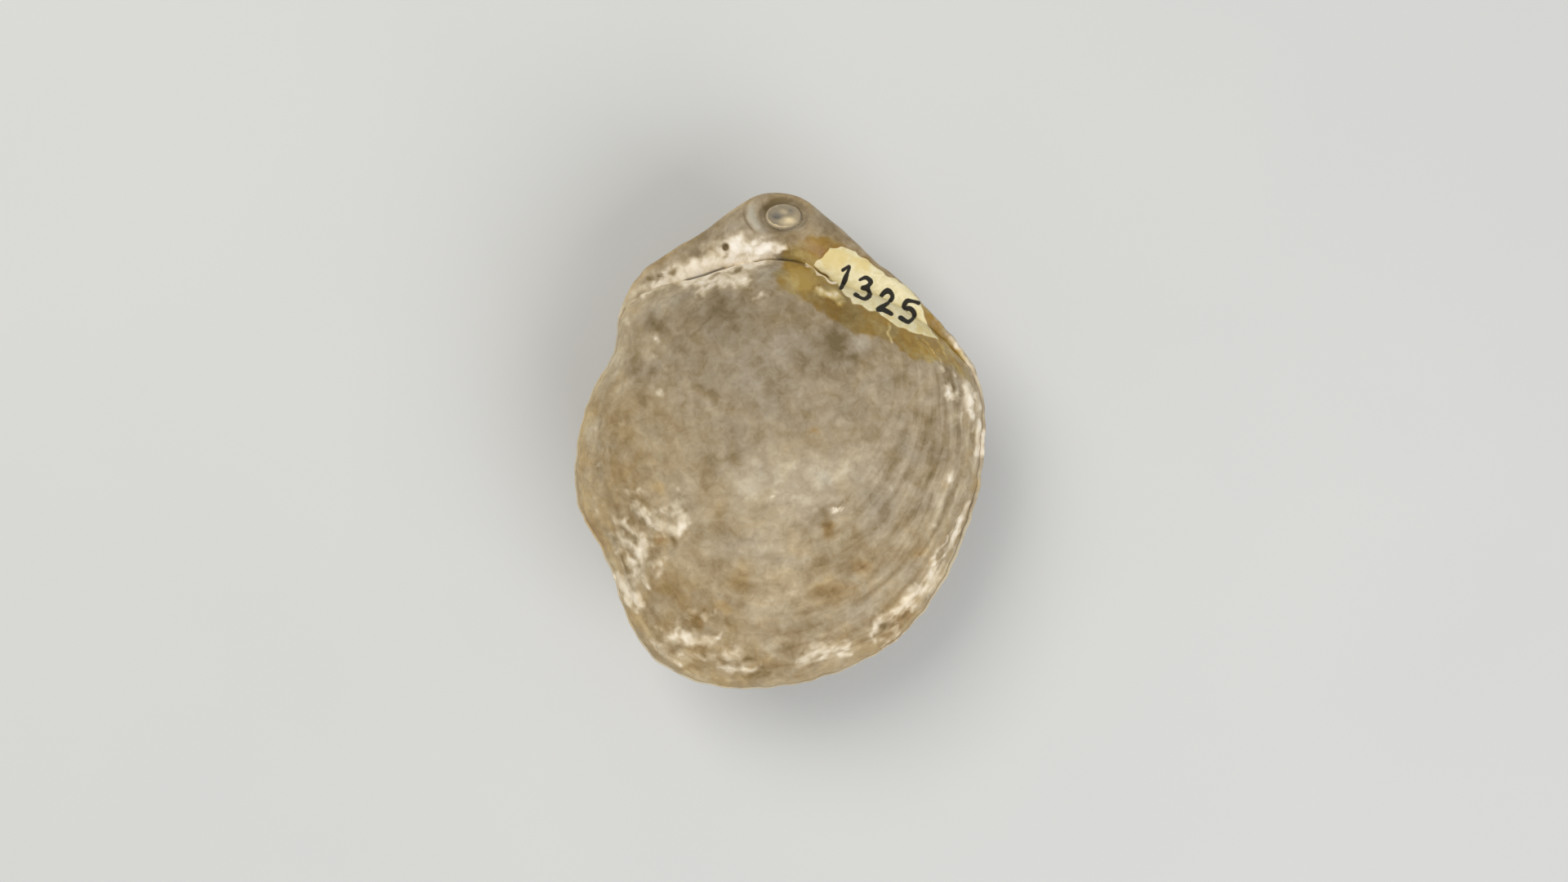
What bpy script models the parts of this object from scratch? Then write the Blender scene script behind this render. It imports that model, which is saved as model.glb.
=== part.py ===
"""Fossil brachiopod (Coenothyris), lying on its pedicle valve with the brachial valve upwards.

The shell is filled with hardened sediment, so each valve is modelled as a solid with its half
of the filling. +Y points to the beak, +Z up, and the origin is on the table under the middle.
"""
import math

import bmesh
import bpy
import numpy as np

for left_over in list(bpy.data.objects):
    bpy.data.objects.remove(left_over, do_unlink=True)

MM = 0.001

# Driving dimensions, in millimetres
SEAM_HEIGHT = 8.7           # mean height of the line where the valves meet, above the table
BRACHIAL_RISE = 4.9         # dome of the upper valve above that line
BRACHIAL_TOP = (0.0, 2.2)   # the dome's highest point, seen from above
BRACHIAL_UMBO = (-0.3, 9.3)     # where the upper valve's growth lines start
PEDICLE_UMBO = (0.0, 12.0)      # where the lower valve's growth lines start
REST_CENTRE = (-0.1, 0.1)   # middle of the worn flat on the belly that the fossil lies on
REST_SHARE = 0.2            # radius of that flat, as a share of the outline's radius
WEAR_FADE = 0.15            # share over which its wear runs out
VALVE_GAP = 0.1             # open seam between the two valves
SEGMENTS = 84
SEAM_SHARES = (0.88, 0.6, 0.3)      # rings of the hidden faces between the valves

# Roundness of each valve across and the change of it towards the beak: 0.5 is a half ellipse
DOME_POWER = (0.60, -0.05)
BOWL_POWER = (0.64, -0.12)

# Gentle unevenness of the upper valve: height, radians per millimetre along X and Y, start
LUMPS = ((0.11, 0.55, 0.31, 1.0), (0.09, -0.38, 0.67, 2.2), (0.06, 1.05, -0.42, 0.7), (0.05, 0.5, 1.2, 4.0))

# Outline of the whole shell seen from above: bearing from +X towards +Y in degrees, radius
SHELL_OUTLINE = (
    (0, 12.45), (10, 12.60), (20, 12.62), (30, 12.25), (42, 12.00), (52, 12.08), (62, 12.25),
    (70, 12.88), (78, 13.75), (85, 14.73), (90, 15.00), (95, 14.93), (102, 14.20), (110, 13.45),
    (120, 13.20), (130, 13.18), (140, 12.56), (147, 11.85), (153, 11.45), (160, 11.65),
    (170, 12.00), (185, 12.52), (198, 12.95), (210, 12.73), (220, 13.18), (230, 14.31),
    (240, 15.25), (250, 15.39), (260, 15.15), (275, 14.63), (290, 14.24), (305, 13.77),
    (320, 13.10), (335, 12.60), (350, 12.46),
)

# Edge of the upper valve, as the distance by which it lies inside that outline
MARGIN_SETBACK = (
    (0, 0.30), (12, 0.18), (25, 0.42), (35, 0.66), (43, 0.98), (50, 1.34), (58, 1.75),
    (66, 2.45), (73, 3.05), (80, 3.45), (86, 3.90), (92, 4.00), (98, 3.75), (104, 3.10),
    (110, 2.60), (118, 2.20), (127, 1.65), (134, 0.90), (140, 0.25), (150, 0.14), (200, 0.14),
    (250, 0.14), (300, 0.14), (325, 0.24),
)

# Rise and fall of the seam round the shell, from its mean height
SEAM_WAVE = (
    (0, -0.25), (30, 0.05), (60, 0.75), (90, 1.30), (120, 0.75), (150, 0.10), (180, -0.30),
    (215, -0.35), (245, 0.35), (268, 0.85), (292, 0.45), (320, -0.30), (340, -0.35),
)

# Widest line of the lower valve: its drop below the seam, more where the seam is set back, and
# more under the beak
WIDEST_DROP = 0.16
SETBACK_DROP = 0.10
BEAK_DROP = 1.1
BEAK_BEARING = 91.0
BEAK_SPREAD = 17.0

# Shoulders from that line over to the seam: steepness at each end, plus its shares of the
# setback and of the beak
SHOULDER_OUT = (0.10, 0.33, 1.25)
SHOULDER_IN = (0.05, 0.12, 1.9)
SHOULDER_REACH = 0.35
SHOULDER_SPREAD = 15.0
SHOULDER_STEPS = (0.0, 0.15, 0.3, 0.45, 0.6, 0.75, 0.88, 1.0)

# Foramen, the hole in the beak for the stalk: a funnel that opens up and backwards
FORAMEN_CENTRE = (0.20, 13.55, 10.0)
FORAMEN_TILT = 39.0         # degrees that its axis leans from straight up towards the beak
FORAMEN_BORE = 1.08
FORAMEN_DEPTH = 1.6
FUNNEL_RADIUS = 1.55
FUNNEL_FOOT = -0.26         # depth at which the funnel narrows to the bore, from the collar
COLLAR_RADIUS = 2.30
COLLAR_RISE = 0.12
FORAMEN_CLEARANCE = 2.2     # height over the collar that its cutter takes away
FILL_RADIUS = 1.04
FILL_RIM = -0.06            # top of the plug's rim, from the collar
FILL_DISH = 0.24            # depth of the dish in the plug

# Growth stages: share of full size where each ends in a ledge, and the ledge's height
GROWTH_LEDGES = ((0.44, 0.03), (0.61, 0.05), (0.765, 0.09), (0.86, 0.11), (0.93, 0.13))
FIRST_LEDGE = 0.28
LEDGE_WIDTH = 0.02
RINGS_BETWEEN = (0.12, 0.28, 0.36, 0.53, 0.69, 0.82, 0.9, 0.968, 0.99)
FULL_LEDGE_REACH = 11.0     # distance from umbo to edge at which ledges have their full height

PIT = (-3.23, 11.70, 0.21)  # borer's pit beside the hinge: x, y, radius
PIT_TOP = 10.9
PIT_FLOOR = 9.8


def around(points, bearings):
    """Smooth closed curve through (bearing, value) points, read at bearings in degrees."""
    known = np.array([p[0] for p in points], dtype=float)
    value = np.array([p[1] for p in points], dtype=float)
    before, after = np.roll(known, 1), np.roll(known, -1)
    before[0] -= 360.0
    after[-1] += 360.0
    slope = (np.roll(value, -1) - np.roll(value, 1)) / (after - before)
    turned = np.mod(np.asarray(bearings, dtype=float), 360.0)
    start = np.searchsorted(known, turned, side="right") - 1
    end = (start + 1) % len(known)
    span = after[start] - known[start]
    t = (turned - known[start]) / span
    return ((2 * t**3 - 3 * t**2 + 1) * value[start] + (t**3 - 2 * t**2 + t) * span * slope[start]
            + (3 * t**2 - 2 * t**3) * value[end] + (t**3 - t**2) * span * slope[end])


def nearness(bearings, middle, width):
    """1 at the middle bearing, falling smoothly to 0 away from it."""
    turn = np.mod(np.asarray(bearings) - middle + 180.0, 360.0) - 180.0
    return np.exp(-(turn / width) ** 2)


def spaced_bearings():
    """Bearings of the segments, closer together towards the beak."""
    fine = np.linspace(-90.0, 270.0, 7201)
    weight = 1.0 + 2.0 * nearness(fine, 90.0, 18.0)
    length = np.concatenate(([0.0], np.cumsum(0.5 * (weight[1:] + weight[:-1]))))
    wanted = np.arange(SEGMENTS) * length[-1] / SEGMENTS
    return np.interp(wanted, length, fine)


def broad_radius(radius_at, bearings):
    """Outline with only its broad form kept, as the young shell's smoother edge was."""
    every = np.arange(0.0, 360.0, 1.0)
    radius = radius_at(every)
    broad = np.full(len(np.asarray(bearings)), radius.mean())
    for order in (1, 2, 3, 4):
        phase = np.radians(order * every)
        cosine, sine = 2 * (radius * np.cos(phase)).mean(), 2 * (radius * np.sin(phase)).mean()
        turn = np.radians(order * np.asarray(bearings))
        broad = broad + cosine * np.cos(turn) + sine * np.sin(turn)
    return broad


def shell_radius(bearings):
    return around(SHELL_OUTLINE, bearings)


def margin_radius(bearings):
    return shell_radius(bearings) - around(MARGIN_SETBACK, bearings)


def outline_points(radius, bearings):
    """Points seen from above at a radius and bearing from the middle."""
    angle = np.radians(bearings)
    return np.stack((radius * np.cos(angle), radius * np.sin(angle)), axis=-1)


def share_from(centre, radius_at, x, y):
    """How far points lie from a centre, as a share of the way to the outline."""
    every = np.arange(0.0, 360.0, 1.0)
    tables = []
    for radius in (radius_at(every), broad_radius(radius_at, every)):
        offset = outline_points(radius, every) - np.array(centre)
        angle = np.degrees(np.arctan2(offset[:, 1], offset[:, 0]))
        tables.append((angle, np.hypot(offset[:, 0], offset[:, 1])))
    bearing = np.degrees(np.arctan2(y - centre[1], x - centre[0]))
    exact, broad = [np.interp(bearing, angle[np.argsort(angle)], reach[np.argsort(angle)],
                              period=360.0) for angle, reach in tables]
    distance = np.hypot(x - centre[0], y - centre[1])
    share = distance / exact
    for _ in range(6):
        share = distance / (broad + (exact - broad) * np.clip(share, 0.0, 1.0) ** 3)
    return np.clip(share, 0.0, 1.0)


def growth_ring(umbo, radius_at, share):
    """Edge of the valve when it had grown to a share of its size: a copy shrunk to the umbo."""
    exact, broad = radius_at(BEARINGS), broad_radius(radius_at, BEARINGS)
    edge = outline_points(broad + (exact - broad) * share**3, BEARINGS)
    return np.array(umbo) + share * (edge - np.array(umbo))


def ledge_height(umbo, radius_at, share):
    """Height that the growth stages add on a ring, like shingles; it fades to the hinge."""
    edge = outline_points(radius_at(BEARINGS), BEARINGS)
    tangent = np.roll(edge, -1, axis=0) - np.roll(edge, 1, axis=0)
    tangent /= np.linalg.norm(tangent, axis=1)[:, None]
    offset = edge - np.array(umbo)
    reach = np.abs(offset[:, 0] * tangent[:, 1] - offset[:, 1] * tangent[:, 0])
    begin = FIRST_LEDGE
    for end, height in GROWTH_LEDGES:
        if begin < share <= end:
            rise = height * ((share - begin) / (end - begin)) ** 2
            return rise * np.clip(reach / FULL_LEDGE_REACH, 0.0, 1.0) ** 1.5
        begin = end + LEDGE_WIDTH
    return np.zeros(SEGMENTS)


def lumps(x, y):
    """Gentle unevenness of the upper valve, in millimetres."""
    return sum(height * np.sin(a * x + b * y + start) for height, a, b, start in LUMPS)


def towards_beak(x, y, centre):
    """1 towards the beak from a centre, -1 away from it."""
    return (y - centre[1]) / np.maximum(np.hypot(x - centre[0], y - centre[1]), 0.01)


def dome_height(x, y):
    """Upper valve: a low dome on the seam, steepest at the hinge."""
    share = share_from(BRACHIAL_TOP, margin_radius, x, y)
    power = DOME_POWER[0] + DOME_POWER[1] * towards_beak(x, y, BRACHIAL_TOP)
    dome = BRACHIAL_RISE * (1.0 - share**2) ** power
    return seam_height(x, y) + dome + lumps(x, y) * (1.0 - share**6)


def bowl_height(x, y):
    """Lower valve: a deep bowl with a small worn flat under it."""
    share = share_from(REST_CENTRE, shell_radius, x, y)
    climb = np.clip((share - REST_SHARE) / (1.0 - REST_SHARE), 0.0, 1.0)
    power = BOWL_POWER[0] + BOWL_POWER[1] * towards_beak(x, y, REST_CENTRE)
    widest = widest_height(np.degrees(np.arctan2(y, x)))
    return widest * (1.0 - (1.0 - climb**2) ** power)


def unworn(x, y):
    """0 on the worn flat under the belly, rising to 1 round it."""
    share = share_from(REST_CENTRE, shell_radius, x, y)
    return np.clip((share - REST_SHARE) / WEAR_FADE, 0.0, 1.0) ** 2


def seam_height(x, y):
    """Surface where the valves' fillings meet, which runs out to the seam."""
    bearing = np.degrees(np.arctan2(y, x))
    share = np.hypot(x, y) / margin_radius(bearing)
    return SEAM_HEIGHT + around(SEAM_WAVE, bearing) * np.clip(share, 0.0, 1.0) ** 2


def widest_height(bearings):
    """Height of the lower valve's widest line, which dips under the beak."""
    drop = WIDEST_DROP + SETBACK_DROP * around(MARGIN_SETBACK, bearings)
    drop = drop + BEAK_DROP * nearness(bearings, BEAK_BEARING, BEAK_SPREAD)
    return SEAM_HEIGHT + around(SEAM_WAVE, bearings) - drop


def on_face(flat, height_at, raise_by, side):
    """Points on a valve's outer face, raised square to it; side is 1 above and -1 below."""
    x, y = flat[:, 0], flat[:, 1]
    step = 0.1
    slope_x = (height_at(x + step, y) - height_at(x - step, y)) / (2 * step)
    slope_y = (height_at(x, y + step) - height_at(x, y - step)) / (2 * step)
    normal = np.column_stack((-slope_x, -slope_y, np.ones(len(x)))) * side
    normal /= np.linalg.norm(normal, axis=1)[:, None]
    return np.column_stack((flat, height_at(x, y))) + normal * raise_by[:, None]


def grown_rings(umbo, radius_at, height_at, side):
    """Rings of one valve's outer face from the umbo outwards, with its growth ledges."""
    shares = list(RINGS_BETWEEN)
    for end, _ in GROWTH_LEDGES:
        shares += [end, end + LEDGE_WIDTH]
    rings = []
    for share in sorted(shares):
        flat = growth_ring(umbo, radius_at, share)
        raise_by = ledge_height(umbo, radius_at, share)
        if side < 0.0:
            raise_by = raise_by * unworn(flat[:, 0], flat[:, 1])
        rings.append(on_face(flat, height_at, raise_by, side))
    return rings


def seam_rings(side):
    """Hidden faces between the valves, from just inside the margin to the middle."""
    rings = []
    for share in SEAM_SHARES:
        flat = outline_points(share * margin_radius(BEARINGS), BEARINGS)
        height = seam_height(flat[:, 0], flat[:, 1]) + side * VALVE_GAP / 2
        rings.append(np.column_stack((flat, height)))
    return rings


def shoulder_rings():
    """Rings from the widest line up over the shoulders and the beak to the seam."""
    outer, inner = shell_radius(BEARINGS), margin_radius(BEARINGS)
    setback = around(MARGIN_SETBACK, BEARINGS)
    beak = nearness(BEARINGS, BEAK_BEARING, SHOULDER_SPREAD)
    low = widest_height(BEARINGS)
    end = SEAM_HEIGHT + around(SEAM_WAVE, BEARINGS) - VALVE_GAP / 2
    lift_out = SHOULDER_OUT[0] + SHOULDER_OUT[1] * setback + SHOULDER_OUT[2] * beak
    lift_in = SHOULDER_IN[0] + SHOULDER_IN[1] * setback + SHOULDER_IN[2] * beak
    rings = []
    for t in SHOULDER_STEPS:
        a, b, c, d = (1 - t) ** 3, 3 * t * (1 - t) ** 2, 3 * t**2 * (1 - t), t**3
        radius = (a + b) * outer + c * (inner + SHOULDER_REACH * setback) + d * inner
        height = a * low + b * (low + lift_out) + c * (end + lift_in) + d * end
        rings.append(np.column_stack((outline_points(radius, BEARINGS), height)))
    return rings


def finished_object(name, bm, material):
    """Object from a bmesh, shaded smooth but for its sharp edges."""
    mesh = bpy.data.meshes.new(name)
    bm.to_mesh(mesh)
    bm.free()
    mesh.shade_smooth()
    mesh.set_sharp_from_angle(angle=math.radians(40))
    mesh.materials.append(material)
    thing = bpy.data.objects.new(name, mesh)
    bpy.context.scene.collection.objects.link(thing)
    return thing


def closed_shell(name, rings, first_pole, last_pole, material):
    """Mesh object of rings joined by faces, closed by a pole at each end."""
    bm = bmesh.new()
    start = bm.verts.new([c * MM for c in first_pole])
    rows = [[bm.verts.new([c * MM for c in point]) for point in one] for one in rings]
    finish = bm.verts.new([c * MM for c in last_pole])
    for i in range(SEGMENTS):
        j = (i + 1) % SEGMENTS
        bm.faces.new((start, rows[0][i], rows[0][j]))
        for inner, outer in zip(rows, rows[1:]):
            bm.faces.new((inner[i], outer[i], outer[j], inner[j]))
        bm.faces.new((rows[-1][j], rows[-1][i], finish))
    bmesh.ops.recalc_face_normals(bm, faces=bm.faces)
    return finished_object(name, bm, material)


def turned(name, profile, sides, material):
    """Solid turned round its own +Z axis from (radius, height) points, bottom to top."""
    bm = bmesh.new()
    points = [bm.verts.new((radius * MM, 0.0, height * MM)) for radius, height in profile]
    edges = [bm.edges.new(pair) for pair in zip(points, points[1:])]
    bmesh.ops.spin(bm, geom=points + edges, cent=(0, 0, 0), axis=(0, 0, 1),
                   angle=2 * math.pi, steps=sides, use_merge=True)
    bmesh.ops.remove_doubles(bm, verts=bm.verts, dist=0.000001)
    bmesh.ops.recalc_face_normals(bm, faces=bm.faces)
    return finished_object(name, bm, material)


def stand_in_foramen(thing):
    """Put a turned solid on the foramen's leaning axis."""
    thing.rotation_euler = (-math.radians(FORAMEN_TILT), 0.0, 0.0)
    thing.location = [c * MM for c in FORAMEN_CENTRE]


def cut(thing, cutter):
    """Take a hidden cutter's shape out of an object."""
    cutter.hide_render = True
    cutter.display_type = "WIRE"
    modifier = thing.modifiers.new(cutter.name, "BOOLEAN")
    modifier.operation = "DIFFERENCE"
    modifier.solver = "EXACT"
    modifier.object = cutter


def stone(name, colour, roughness):
    """Plain stony finish."""
    material = bpy.data.materials.new(name)
    material.use_nodes = True
    shader = material.node_tree.nodes["Principled BSDF"]
    shader.inputs["Base Color"].default_value = (*colour, 1.0)
    shader.inputs["Roughness"].default_value = roughness
    shader.inputs["Metallic"].default_value = 0.0
    return material


def brachial_valve(material):
    """Upper valve with its half of the filling."""
    rings = grown_rings(BRACHIAL_UMBO, margin_radius, dome_height, 1.0)
    edge = outline_points(margin_radius(BEARINGS), BEARINGS)
    seam = SEAM_HEIGHT + around(SEAM_WAVE, BEARINGS) + VALVE_GAP / 2
    rings.append(np.column_stack((edge, seam)))
    rings += seam_rings(1.0)
    top = (*BRACHIAL_UMBO, float(dome_height(*BRACHIAL_UMBO)))
    return closed_shell("brachial_valve", rings, top, (0, 0, SEAM_HEIGHT + VALVE_GAP / 2), material)


def pedicle_valve(material):
    """Lower valve with its half of the filling, the shoulders and the beak."""
    rings = grown_rings(PEDICLE_UMBO, shell_radius, bowl_height, -1.0)
    rings += shoulder_rings()
    rings += seam_rings(-1.0)
    bottom = (*PEDICLE_UMBO, float(bowl_height(*PEDICLE_UMBO)))
    return closed_shell("pedicle_valve", rings, bottom, (0, 0, SEAM_HEIGHT - VALVE_GAP / 2), material)


def foramen_cutter(material):
    """Funnel and bore of the foramen, with the slant that ends the beak."""
    profile = ((0.0, -FORAMEN_DEPTH), (FORAMEN_BORE, -FORAMEN_DEPTH), (FORAMEN_BORE, FUNNEL_FOOT),
               (FORAMEN_BORE + 0.16, FUNNEL_FOOT + 0.06), (FUNNEL_RADIUS - 0.12, -0.10),
               (FUNNEL_RADIUS, -0.02), (COLLAR_RADIUS, COLLAR_RISE),
               (COLLAR_RADIUS, FORAMEN_CLEARANCE), (0.0, FORAMEN_CLEARANCE))
    cutter = turned("foramen_cutter", profile, 36, material)
    stand_in_foramen(cutter)
    return cutter


def foramen_fill(material):
    """Sediment plug left in the foramen: a shallow dish, a little below the collar."""
    floor = -FORAMEN_DEPTH + VALVE_GAP
    profile = ((0.0, floor), (FILL_RADIUS - 0.05, floor), (FILL_RADIUS, FUNNEL_FOOT),
               (FILL_RADIUS - 0.03, FILL_RIM - 0.08), (FILL_RADIUS - 0.12, FILL_RIM),
               (0.72 * FILL_RADIUS, FILL_RIM - FILL_DISH / 2), (0.0, FILL_RIM - FILL_DISH))
    fill = turned("foramen_fill", profile, 28, material)
    stand_in_foramen(fill)
    return fill


def pit_cutter(material):
    """Small borer's pit beside the hinge."""
    x, y, radius = PIT
    profile = ((0.0, PIT_FLOOR), (0.7 * radius, PIT_FLOOR + 0.1), (radius, PIT_FLOOR + 0.5),
               (1.3 * radius, PIT_TOP), (0.0, PIT_TOP))
    cutter = turned("pit_cutter", profile, 10, material)
    cutter.location = (x * MM, y * MM, 0.0)
    return cutter


BEARINGS = spaced_bearings()

SHELL_STONE = stone("grey_brown_shell", (0.33, 0.27, 0.19), 0.75)
WORN_STONE = stone("worn_shell", (0.36, 0.30, 0.21), 0.72)
MUD_STONE = stone("hardened_mud", (0.42, 0.36, 0.25), 0.9)

lower = pedicle_valve(SHELL_STONE)
brachial_valve(WORN_STONE)
foramen_fill(MUD_STONE)
cut(lower, foramen_cutter(SHELL_STONE))
cut(lower, pit_cutter(SHELL_STONE))
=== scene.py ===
"""Fossil brachiopod shell on a pale table, seen from above with its beak away from the camera."""

import math

import bpy
import numpy as np
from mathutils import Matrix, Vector


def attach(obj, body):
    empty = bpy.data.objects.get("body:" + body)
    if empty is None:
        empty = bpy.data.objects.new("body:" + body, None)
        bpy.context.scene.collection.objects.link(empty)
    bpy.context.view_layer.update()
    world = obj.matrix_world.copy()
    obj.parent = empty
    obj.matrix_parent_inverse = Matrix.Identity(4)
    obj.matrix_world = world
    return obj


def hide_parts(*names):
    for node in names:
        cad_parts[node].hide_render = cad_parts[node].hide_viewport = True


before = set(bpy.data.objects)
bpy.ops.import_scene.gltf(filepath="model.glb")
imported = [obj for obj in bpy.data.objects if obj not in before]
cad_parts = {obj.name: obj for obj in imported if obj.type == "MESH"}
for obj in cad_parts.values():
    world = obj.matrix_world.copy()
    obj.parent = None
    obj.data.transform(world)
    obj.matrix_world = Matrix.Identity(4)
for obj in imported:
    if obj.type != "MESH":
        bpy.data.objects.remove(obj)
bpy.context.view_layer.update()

# Brachial valve
# The upper half of the shell: calcite, worn dull and closed on the lower half by the hardened
# mud that fills both. Its growth ledges spread from the hinge, and its outer layers flake to
# chalk near the edge. A collector painted, varnished and numbered it across the hinge.

MM = 0.001
SEAM_HEIGHT = 8.7
BRACHIAL_RISE = 4.87
BRACHIAL_TOP = (0.0, 2.2)
BRACHIAL_UMBO = (-0.3, 9.3)
DOME_POWER = (0.60, -0.05)  # roundness of the dome across, and its change towards the beak
VALVE_GAP = 0.1
GAP_SHARES = (0.28, -0.23, 0.12)    # of that gap: all round, by the hinge, where it has cracked
HINGE_OPENINGS = ((105.0, 122.0, 1.0), (79.0, 92.0, 0.4))   # from, to, and how far it has cracked
OPENING_FADE = 4.0
BEAK_BEARING = 91.0

# The shell's outline from above: bearing from +X towards +Y in degrees, radius in millimetres
SHELL_OUTLINE = (
    (0, 12.45), (10, 12.6), (20, 12.62), (30, 12.25), (42, 12.0), (52, 12.08), (62, 12.25), (70, 12.88),
    (78, 13.75), (85, 14.73), (90, 15.0), (95, 14.93), (102, 14.2), (110, 13.45), (120, 13.2), (130, 13.18),
    (140, 12.56), (147, 11.85), (153, 11.45), (160, 11.65), (170, 12.0), (185, 12.52), (198, 12.95),
    (210, 12.73), (220, 13.18), (230, 14.31), (240, 15.25), (250, 15.39), (260, 15.15), (275, 14.63),
    (290, 14.24), (305, 13.77), (320, 13.1), (335, 12.6), (350, 12.46),
)
MARGIN_SETBACK = (
    (0, 0.3), (12, 0.18), (25, 0.42), (35, 0.66), (43, 0.98), (50, 1.34), (58, 1.75), (66, 2.45),
    (73, 3.05), (80, 3.5), (86, 4.08), (92, 4.24), (98, 3.92), (104, 3.2), (110, 2.6), (118, 2.2),
    (127, 1.65), (134, 0.9), (140, 0.25), (150, 0.14), (200, 0.14), (250, 0.14), (300, 0.14), (325, 0.24),
)
SEAM_WAVE = (
    (0, -0.25), (30, 0.05), (60, 0.75), (90, 1.3), (120, 0.75), (150, 0.1), (180, -0.3), (215, -0.35),
    (245, 0.35), (268, 0.85), (292, 0.45), (320, -0.3), (340, -0.35),
)
GROWTH_LEDGES = ((0.44, 0.03), (0.61, 0.05), (0.765, 0.09), (0.86, 0.11), (0.93, 0.13))
LEDGE_WIDTH = 0.03
FIRST_LEDGE = 0.28
FULL_LEDGE_REACH = 11.0
# Wandering of the growth lines round the shell: size, waves, start
GROWTH_WAVES = ((0.005, 3.1, 1.3), (0.003, 8.3, 0.0), (0.002, 17.0, 0.0))
CLEAREST_BANDS = (-58.0, 32.0)  # bearing where the growth bands show most, and how far they spread
GROWN_LENGTH = 20.0
BAND_STRETCH = 0.18         # how drawn out along the growth lines the bands' grain is
EDGE_WEAR = 0.024
LUMPS = ((0.11, 0.55, 0.31, 1.0), (0.09, -0.38, 0.67, 2.2), (0.06, 1.05, -0.42, 0.7), (0.05, 0.5, 1.2, 4.0))
EVERY_BEARING = np.arange(-180.0, 180.0, 0.25)
NET_ROWS = 296              # an even number, for about 0.1 mm between points
SEAM_SHARES = (0.985, 0.93, 0.7, 0.35)
OUTSIDE = -9.0              # for points that are on no coat
EYE_HEIGHT = 105.0          # the camera's height over the seam, from where the marks were placed


def around(points, bearings):
    """Smooth closed curve through (bearing, value) points, read at bearings in degrees."""
    known = np.array([p[0] for p in points], dtype=float)
    value = np.array([p[1] for p in points], dtype=float)
    before, after = np.roll(known, 1), np.roll(known, -1)
    before[0] -= 360.0
    after[-1] += 360.0
    slope = (np.roll(value, -1) - np.roll(value, 1)) / (after - before)
    turned = np.mod(np.asarray(bearings, dtype=float), 360.0)
    start = np.searchsorted(known, turned, side="right") - 1
    end = (start + 1) % len(known)
    span = after[start] - known[start]
    t = (turned - known[start]) / span
    return ((2 * t**3 - 3 * t**2 + 1) * value[start] + (t**3 - 2 * t**2 + t) * span * slope[start]
            + (3 * t**2 - 2 * t**3) * value[end] + (t**3 - t**2) * span * slope[end])


def ridge(distance, middle, width):
    """1 on the middle line of a rounded ridge, falling to 0 on both sides."""
    return np.exp(-((distance - middle) / width) ** 2)


def nearness(bearings, middle, width):
    """1 at the middle bearing, falling smoothly to 0 away from it."""
    return ridge(np.mod(np.asarray(bearings) - middle + 180.0, 360.0), 180.0, width)


def smooth_rise(value, start, end):
    """0 up to the start and 1 from the end, with a smooth rise between them."""
    t = np.clip((value - start) / (end - start), 0.0, 1.0)
    return t * t * (3.0 - 2.0 * t)


def shell_radius(bearings):
    """Outline with its edge a little chipped and worn, but for the beak."""
    turn = np.radians(bearings)
    chips = 3.0 + np.sin(23 * turn + 1.0) * np.sin(7 * turn) + np.sin(41 * turn + 2.0)
    chips += 0.8 * np.sin(67 * turn)
    worn = 1.0 - nearness(bearings, BEAK_BEARING, 35.0)
    return around(SHELL_OUTLINE, bearings) - EDGE_WEAR * chips * worn


def margin_radius(bearings):
    return shell_radius(bearings) - around(MARGIN_SETBACK, bearings)


def outline_points(radius, bearings):
    """Points seen from above at a radius and bearing from the middle."""
    angle = np.radians(bearings)
    return np.stack((radius * np.cos(angle), radius * np.sin(angle)), axis=-1)


def broad_radius(radius_at):
    """The outline with only its broad form kept, as the young shell's smoother edge was."""
    radius = radius_at(EVERY_BEARING)
    broad = np.full(len(radius), radius.mean())
    for order in (1, 2, 3, 4):
        turn = np.radians(order * EVERY_BEARING)
        for wave in (np.cos(turn), np.sin(turn)):
            broad += 2 * (radius * wave).mean() * wave
    return broad


def reaches(centre, radius_at, bearing):
    """Distance from a centre to the outline, and to its broad form, along a bearing."""
    found = []
    for radius in (radius_at(EVERY_BEARING), broad_radius(radius_at)):
        offset = outline_points(radius, EVERY_BEARING) - np.array(centre)
        angle = np.degrees(np.arctan2(offset[:, 1], offset[:, 0]))
        order = np.argsort(angle)
        reach = np.hypot(offset[:, 0], offset[:, 1])[order]
        found.append(np.interp(bearing, angle[order], reach, period=360.0))
    return found


def share_from(centre, radius_at, x, y):
    """How far points lie from a centre, as a share of the way to the outline."""
    bearing = np.degrees(np.arctan2(y - centre[1], x - centre[0]))
    exact, broad = reaches(centre, radius_at, bearing)
    distance = np.hypot(x - centre[0], y - centre[1])
    share = distance / exact
    for _ in range(6):
        share = distance / (broad + (exact - broad) * np.clip(share, 0.0, 1.0) ** 3)
    return np.clip(share, 0.0, 1.0)


def lumps(x, y):
    """Gentle unevenness of the upper valve, in millimetres."""
    return sum(height * np.sin(a * x + b * y + start) for height, a, b, start in LUMPS)


def seam_height(x, y):
    """Surface where the fillings of the two valves meet, which runs out to the seam."""
    bearing = np.degrees(np.arctan2(y, x))
    share = np.hypot(x, y) / margin_radius(bearing)
    return SEAM_HEIGHT + around(SEAM_WAVE, bearing) * np.clip(share, 0.0, 1.0) ** 2


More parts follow.
